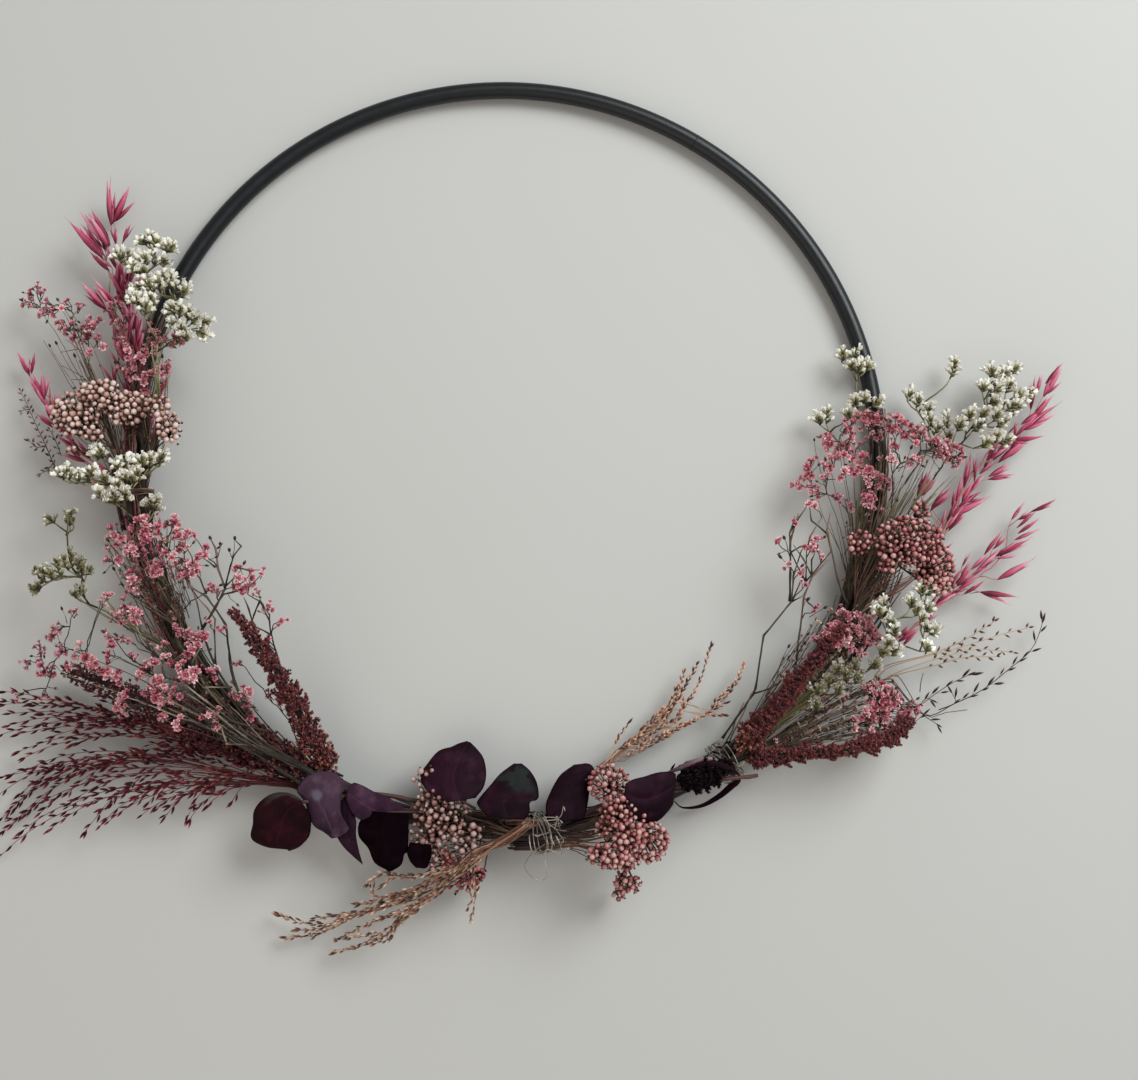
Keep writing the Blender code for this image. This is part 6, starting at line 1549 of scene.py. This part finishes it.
# the middle lines of the dense spikes: x, y, half width
SPIKES = {
    "amaranth_right_inner": [(87.6, -113.8, 2.5), (90.0, -111.4, 5.0), (92.5, -108.6, 5.5), (96.2, -103.6, 3.9), (100.0, -98.2, 3.1), (105.0, -91.4, 2.8), (109.8, -85.0, 2.5), (114.4, -78.6, 2.2), (118.4, -73.2, 1.7), (121.2, -69.8, 0.9)],
    "amaranth_right_outer": [(90.5, -119.1, 2.7), (94.0, -119.1, 4.1), (98.2, -119.1, 3.4), (104.5, -118.4, 2.7), (111.6, -117.6, 2.3), (119.5, -116.9, 2.3), (129.4, -115.4, 2.3), (138.9, -112.7, 2.2), (146.9, -109.6, 2.2), (150.9, -107.3, 1.8), (153.7, -105.4, 0.9)],
    "amaranth_left_inner": [(-68.5, -122.2, 3.4), (-72.8, -117.0, 4.6), (-76.2, -111.8, 5.0), (-79.0, -104.9, 4.6), (-81.6, -98.9, 4.1), (-84.6, -93.2, 3.8), (-88.0, -86.5, 3.4), (-91.6, -81.8, 3.0), (-95.2, -76.0, 2.8), (-98.6, -70.2, 2.0), (-101.4, -67.0, 1.5), (-104.2, -64.5, 1.0)],
    "amaranth_left_outer": [(-76.7, -124.6, 3.1), (-84.2, -121.6, 5.9), (-92.6, -117.0, 7.8), (-103.1, -111.7, 8.6), (-114.5, -106.8, 8.6), (-124.6, -103.0, 7.8), (-137.0, -98.9, 5.9), (-145.6, -95.5, 5.1), (-152.8, -90.6, 4.7), (-159.9, -88.7, 4.3), (-165.1, -86.8, 3.5), (-169.5, -86.5, 2.0)],
    "celosia_right": [(62.5, -129.0, 1.6), (65.5, -127.2, 4.2), (69.5, -126.2, 5.4), (73.5, -124.8, 5.0), (77.5, -123.2, 3.4), (82.0, -121.4, 1.2)],
}

hoop()
for tie, (angle, turns) in TIES.items():
    winding(tie, angle, turns)


# ---------------------------------------------------------------- every sprig
# stems laid on the hoop between the bindings: from, to, count, half breadth, thickness,
# material, height of the heap, shift outwards, raggedness, fanning out
ALONG = {
    "oat_left_tall": [(216, 184, 3, 2.5, 0.6, 1, 2.0, 1.0, 0.1, 1.0)],
    "oat_left_second": [(221, 188, 4, 3.5, 0.7, 0, 2.5, 2.0, 0.15, 1.0), (205, 172, 4, 3.0, 0.55, 0, 2.5, -1.0, 0.3, 1.3)],
    "gypsophila_left_inner": [(214, 158, 16, 3.6, 0.32, 1, 3.0, 0.0, 0.45, 1.6), (176, 152, 10, 3.4, 0.26, 1, 2.0, 0.0, 0.4, 1.5)],
    "gypsophila_left_middle": [(238, 196, 26, 4.6, 0.32, 1, 4.5, 1.0, 0.35, 1.8)],
    "gypsophila_left_bare": [(239, 214, 8, 4.0, 0.34, 1, 3.5, 0.0, 0.3, 1.4)],
    "gypsophila_left_low_inner": [(239, 216, 6, 4.4, 0.3, 1, 4.0, 2.5, 0.35, 1.6)],
    "statice_left_middle": [(232, 208, 3, 3.6, 0.42, 1, 3.5, 2.5, 0.3, 1.3)],
    "statice_left_top": [(190, 152, 3, 3.0, 0.36, 1, 2.4, -1.2, 0.35, 1.5)],
    "gypsophila_right_inner": [(331, 368, 20, 3.2, 0.34, 1, 2.6, -0.6, 0.3, 1.5), (318, 342, 12, 3.6, 0.34, 1, 3.0, -1.5, 0.35, 1.3)],
    "gypsophila_right_outer": [(332, 360, 10, 3.4, 0.3, 1, 3.0, 1.6, 0.3, 2.0)],
    "gypsophila_right_middle": [(306, 330, 18, 4.2, 0.32, 1, 4.5, 1.0, 0.35, 1.8)],
    "rice_flower_centre_left": [(277, 259, 16, 5.0, 0.42, 1, 4.0, -0.5, 0.3, 1.2), (262, 246, 8, 3.6, 0.36, 1, 2.0, -1.5, 0.3, 1.0)],
    "rice_flower_right": [(325, 346, 22, 4.0, 0.38, 1, 4.5, 8.5, 0.3, 2.4), (318, 338, 8, 3.0, 0.34, 1, 3.5, 3.0, 0.3, 2.0)],
    "rice_flower_centre_right": [(271, 290, 12, 4.6, 0.4, 1, 4.0, 0.5, 0.25, 1.2)],
}
# small dried flowers among those stems: from, to, half breadth, height, count, size
THICKETS = {
    "gypsophila_left_inner": [(176, 196, 9, 5.0, 26, (0.9, 1.5), -1.0)],
    "gypsophila_left_outer": [(164, 186, 6, 5.0, 20, (0.9, 1.5), 5.0)],
    "gypsophila_left_middle": [(190, 226, 10, 6.5, 110, (0.6, 1.2), 2.0)],
    "gypsophila_left_low_inner": [(222, 237, 8, 6.0, 14, (0.7, 1.2), 3.0)],
    "gypsophila_right_inner": [(336, 364, 7, 5.0, 26, (0.8, 1.4), -3.0)],
    "gypsophila_right_middle": [(309, 333, 9, 8.0, 70, (0.8, 1.4), 4.0)],
}
# pale dried florets through the thick of a bunch: count, reach, spread, size
SPECKS = {
    "gypsophila_right_low": (150, (0.25, 0.95), 1.0, (0.8, 1.4)),
    "gypsophila_right_middle": (110, (0.3, 0.95), 1.0, (0.8, 1.4)),
    "gypsophila_left_middle": (90, (0.3, 0.95), 0.9, (0.7, 1.2)),
    "gypsophila_left_inner": (30, (0.3, 0.9), 0.9, (0.7, 1.2)),
}
WISP = "-172.8,-12.7 -176.7,-6.6 -179.5,0 -183.2,7.7 -186,14.2 -189.2,20.8; -179.5,0 -182.9,-0.9 -185.2,1.4; -176.7,-6.6 -178.5,-9.7 -180.7,-11.3; -186,14.2 -188.6,13; -173.8,-3.9 -175.8,1.9 -177.8,5.8"
TENDRIL = "-162.5,23.1 -165.2,25.8 -168.7,28.1 -174.1,30.8; -165.2,25.8 -170.1,25.4; -166.6,36.4 -168.2,37.5 -174.6,35.9; -160.6,22.8 -164.2,31.3 -168.2,37.5 -172.8,41"
CURL = [(63.2, -136.6, 7), (66.3, -139.1, 6.5), (73.3, -138.6, 6.5), (79.7, -135.2, 8), (84, -131.2, 11), (86.2, -128.1, 14), (83.5, -124.9, 23), (79.6, -122.6, 29), (74.2, -121.2, 31), (68.6, -121.8, 30), (64.0, -123.6, 27)]

STYLE = {
    "oat": (oat, "oat_pink", ["oat", "oat_stem"]),
    "gyp": (gypsophila, "gypsophila_pink", ["gyp", "gyp_stem"]),
    "statice": (statice, "statice_white", ["statice", "statice_green"]),
    "panic": (panic, "panic_grass_red", ["panic", "panic_stem"]),
    "amaranth": (amaranth, "amaranth_red", ["amaranth", "amaranth_stem"]),
    "celosia": (celosia, "celosia_dark", ["celosia", "dark_stem"]),
}
LEAF = {
    # outline: cup, wave, crease, roll, material, grey patch of painted sheen (along, across, length, breadth)
    "a": (2.4, 0.6, 0.7, 0.8, "leaf_a", (0.1, 0.95, 0.22, 0.16)),
    "b": (1.6, 0.5, 0.5, 0.5, "leaf_b", (0.42, 0.42, 0.07, 0.15)),
    "c": (0.8, 0.15, 0.2, 0.3, "leaf_c", None),
    "d": (1.3, 0.4, 0.4, 0.35, "leaf_d", None),
    "e": (1.2, 0.3, 0.4, -0.6, "leaf_e", None),
    "f": (0.8, 0.2, 0.2, 0.2, "leaf_e", None),
    "g": (2.0, 0.5, 0.6, 0.6, "leaf_g", None),
    "h": (1.6, 0.5, 0.5, 0.4, "leaf_h", (0.72, 0.45, 0.26, 0.46)),
    "i": (1.8, 0.35, 0.5, 0.5, "leaf_i", None),
    "j": (1.8, 0.4, 1.2, 0.4, "leaf_j", None),
}


def one_leaf(m, sp, letter, slot, lift=0.0):
    cup, wave, crease, roll, mat, sheen_spot = LEAF[letter]
    key = "eucalyptus_leaf_" + letter
    z0, z1 = leaf_heights(sp, key)
    leaf(m, key, z0 - cup * 0.3 + lift, z1 - cup * 0.3 + lift, cup, wave, slot, zlib.crc32(key.encode()), crease, roll, sheen_spot=sheen_spot)


for row in SPRIGS:
    name, kind = row[0], row[1]
    sp = Sprig(row)
    m = Build()
    if kind in STYLE and name != "dark_grass_right":
        make, slot, mats = STYLE[kind]
        if name == "statice_left_low":
            mats = ["statice_dull", "statice_green"]
        if name in ("gypsophila_left_low_inner", "gypsophila_left_low_outer"):
            mats = ["gyp", "gyp_pale"]
        if name == "statice_right_low":
            mats = mats + ["statice_dull"]
        if name == "gypsophila_left_outer":
            mats = mats + ["wisp"]
        if kind == "amaranth":
            mats = mats + ["amaranth_old"]
        if kind == "celosia":
            mats = mats + ["celosia_stem"]
        make(sp, m)
        if name in ALONG:
            for args in ALONG[name]:
                over_hoop(m, sp.rng, *args)
        if name in SPECKS:
            scatter(m, sp, *SPECKS[name], mats=(len(mats), 1))
            mats = mats + ["gyp_old"]
        if name in THICKETS:
            for args in THICKETS[name]:
                thicket(m, sp.rng, *args, mats=(0, 1))
        if name == "gypsophila_left_outer":
            for line in rows(WISP + "; " + TENDRIL):
                pts = catmull(np.column_stack([line, np.interp(np.linspace(0, 1, len(line)), [0, 1], [6, 9])]), 2.0)
                m.tube(pts, np.linspace(0.2, 0.1, len(pts)), 1, 0.3, 5)
            for line in rows(WISP):
                pts = catmull(np.column_stack([line, np.linspace(6, 9, len(line))]), 2.0)
                seeds(m, sp.rng, pts, 0.05, 1.2, (1.3, 2.1), 2, wide=1.25, lean=0.9, pedicel=1.0, skin=2)
        m.piece(name, [M[k] for k in mats])
    elif name.startswith("rice_flower"):
        cream = name.startswith("rice_flower_left") or name == "rice_flower_centre_left"
        rice(sp, m)
        if name in ALONG:
            for args in ALONG[name]:
                over_hoop(m, sp.rng, *args)
        paint = "rice_mix" if name == "rice_flower_centre_left" else ("rice_cream" if cream else "rice_pink")
        m.piece(name, [M[paint], M["rice_stem"], M["rice_deep"]])
    elif name.startswith("copper"):
        copper(sp, m)
        m.piece(name, [M["copper_deep" if name == "copper_grass_right" else "copper"], M["copper_stem"]])
    elif name == "dark_grass_right":
        dark_grass(sp, m)
        m.piece(name, [M["brown_seed"], M["straw"], M["dark_stem"]])
    elif name.startswith("eucalyptus_twig"):
        p, d, n = sp.at(np.linspace(0, sp.total, max(6, int(sp.total / 3))))
        w = sp.rng.normal(0, 0.12, p.shape)
        r = np.linspace(1.0, 0.75, len(p)) * sp.rng.uniform(0.9, 1.1, len(p))
        m.tube(p + w, r, 0, 0.5, 10)
        m.piece(name, [M["twig"]])
    elif name.startswith("eucalyptus_leaf"):
        letter = name[-1]
        if letter == "k":
            ribbon(m, CURL, 3.6, [1.25, 0.9, 0.5], 0)
            m.piece(name, [M["leaf_i"]])
        else:
            mats = [M[LEAF[letter][4]], M["twig"]]
            one_leaf(m, sp, letter, 0, 1.4 if letter == "b" else 0.0)
            if letter == "d":
                mats.append(M["leaf_c"])
                # leaf c, laid beneath b and d; its drawn-out foot is painted shade for the shadow of those leaves
                one_leaf(m, sp, "c", 2, -1.6)
            if letter == "e":
                one_leaf(m, sp, "f", 0, 0.4)
            if letter != "a":
                petiole(m, sp, "eucalyptus_leaf_" + letter, 1)
            m.piece(name, mats)
    else:
        raise ValueError(name)


# ---------------------------------------------------------------- floor, light, camera
bpy.context.scene.view_settings.view_transform = "Standard"
world = bpy.data.worlds.new("studio")
bpy.context.scene.world = world
world.use_nodes = True
world.node_tree.nodes["Background"].inputs["Color"].default_value = lin((234, 236, 238))
world.node_tree.nodes["Background"].inputs["Strength"].default_value = 0.5

floor_mat = Mat("backdrop", [(0.0, (193, 191, 186)), (1.0, (202, 200, 196))], rough=0.85, noise=6, mottle=0.3, bump=0.02, spec=0.2)
grid = bpy.data.meshes.new("backdrop")
R = 5.0
n = 30
xs = np.linspace(-R, R, n)
gv = [(x, y, -0.0002) for x in xs for y in xs]
gq = [(i * n + j, (i + 1) * n + j, (i + 1) * n + j + 1, i * n + j + 1) for i in range(n - 1) for j in range(n - 1)]
grid.from_pydata(gv, [], gq)
grid.materials.append(floor_mat.m)
backdrop = bpy.data.objects.new("backdrop", grid)
bpy.context.scene.collection.objects.link(backdrop)


def lamp(name, at, size, power, colour=(255, 252, 246), aim=(0, 0, 20)):
    light = bpy.data.lights.new(name, "AREA")
    light.size = size
    light.energy = power
    light.color = lin(colour)[:3]
    obj = bpy.data.objects.new(name, light)
    obj.location = (Vector(at) + Vector(CENTRE)) / 1000
    d = (Vector(aim) - Vector(at)).normalized()
    obj.rotation_euler = d.to_track_quat("-Z", "Y").to_euler()
    bpy.context.scene.collection.objects.link(obj)


lamp("window", (620, 560, 900), 0.75, 13.6, (245, 252, 255))
lamp("fill", (-500, -700, 900), 1.2, 3.2, (255, 240, 224))

cam = bpy.data.cameras.new("camera")
cam.sensor_fit = "HORIZONTAL"
cam.sensor_width = 36.0
cam.lens = 49.455
cam.clip_start = 0.01
cam_obj = bpy.data.objects.new("camera", cam)
right, up, fwd = (0.997300, 0.0, 0.073430), (-0.006711, 0.995815, 0.091151), (0.073122, 0.091397, -0.993126)
mw = Matrix.Identity(4)
for i in range(3):
    mw[i][0], mw[i][1], mw[i][2] = right[i], up[i], -fwd[i]
mw.translation = (Vector((-22.66, -91.16, 615.10)) + Vector(CENTRE)) / 1000
cam_obj.matrix_world = mw
bpy.context.scene.collection.objects.link(cam_obj)
bpy.context.scene.camera = cam_obj
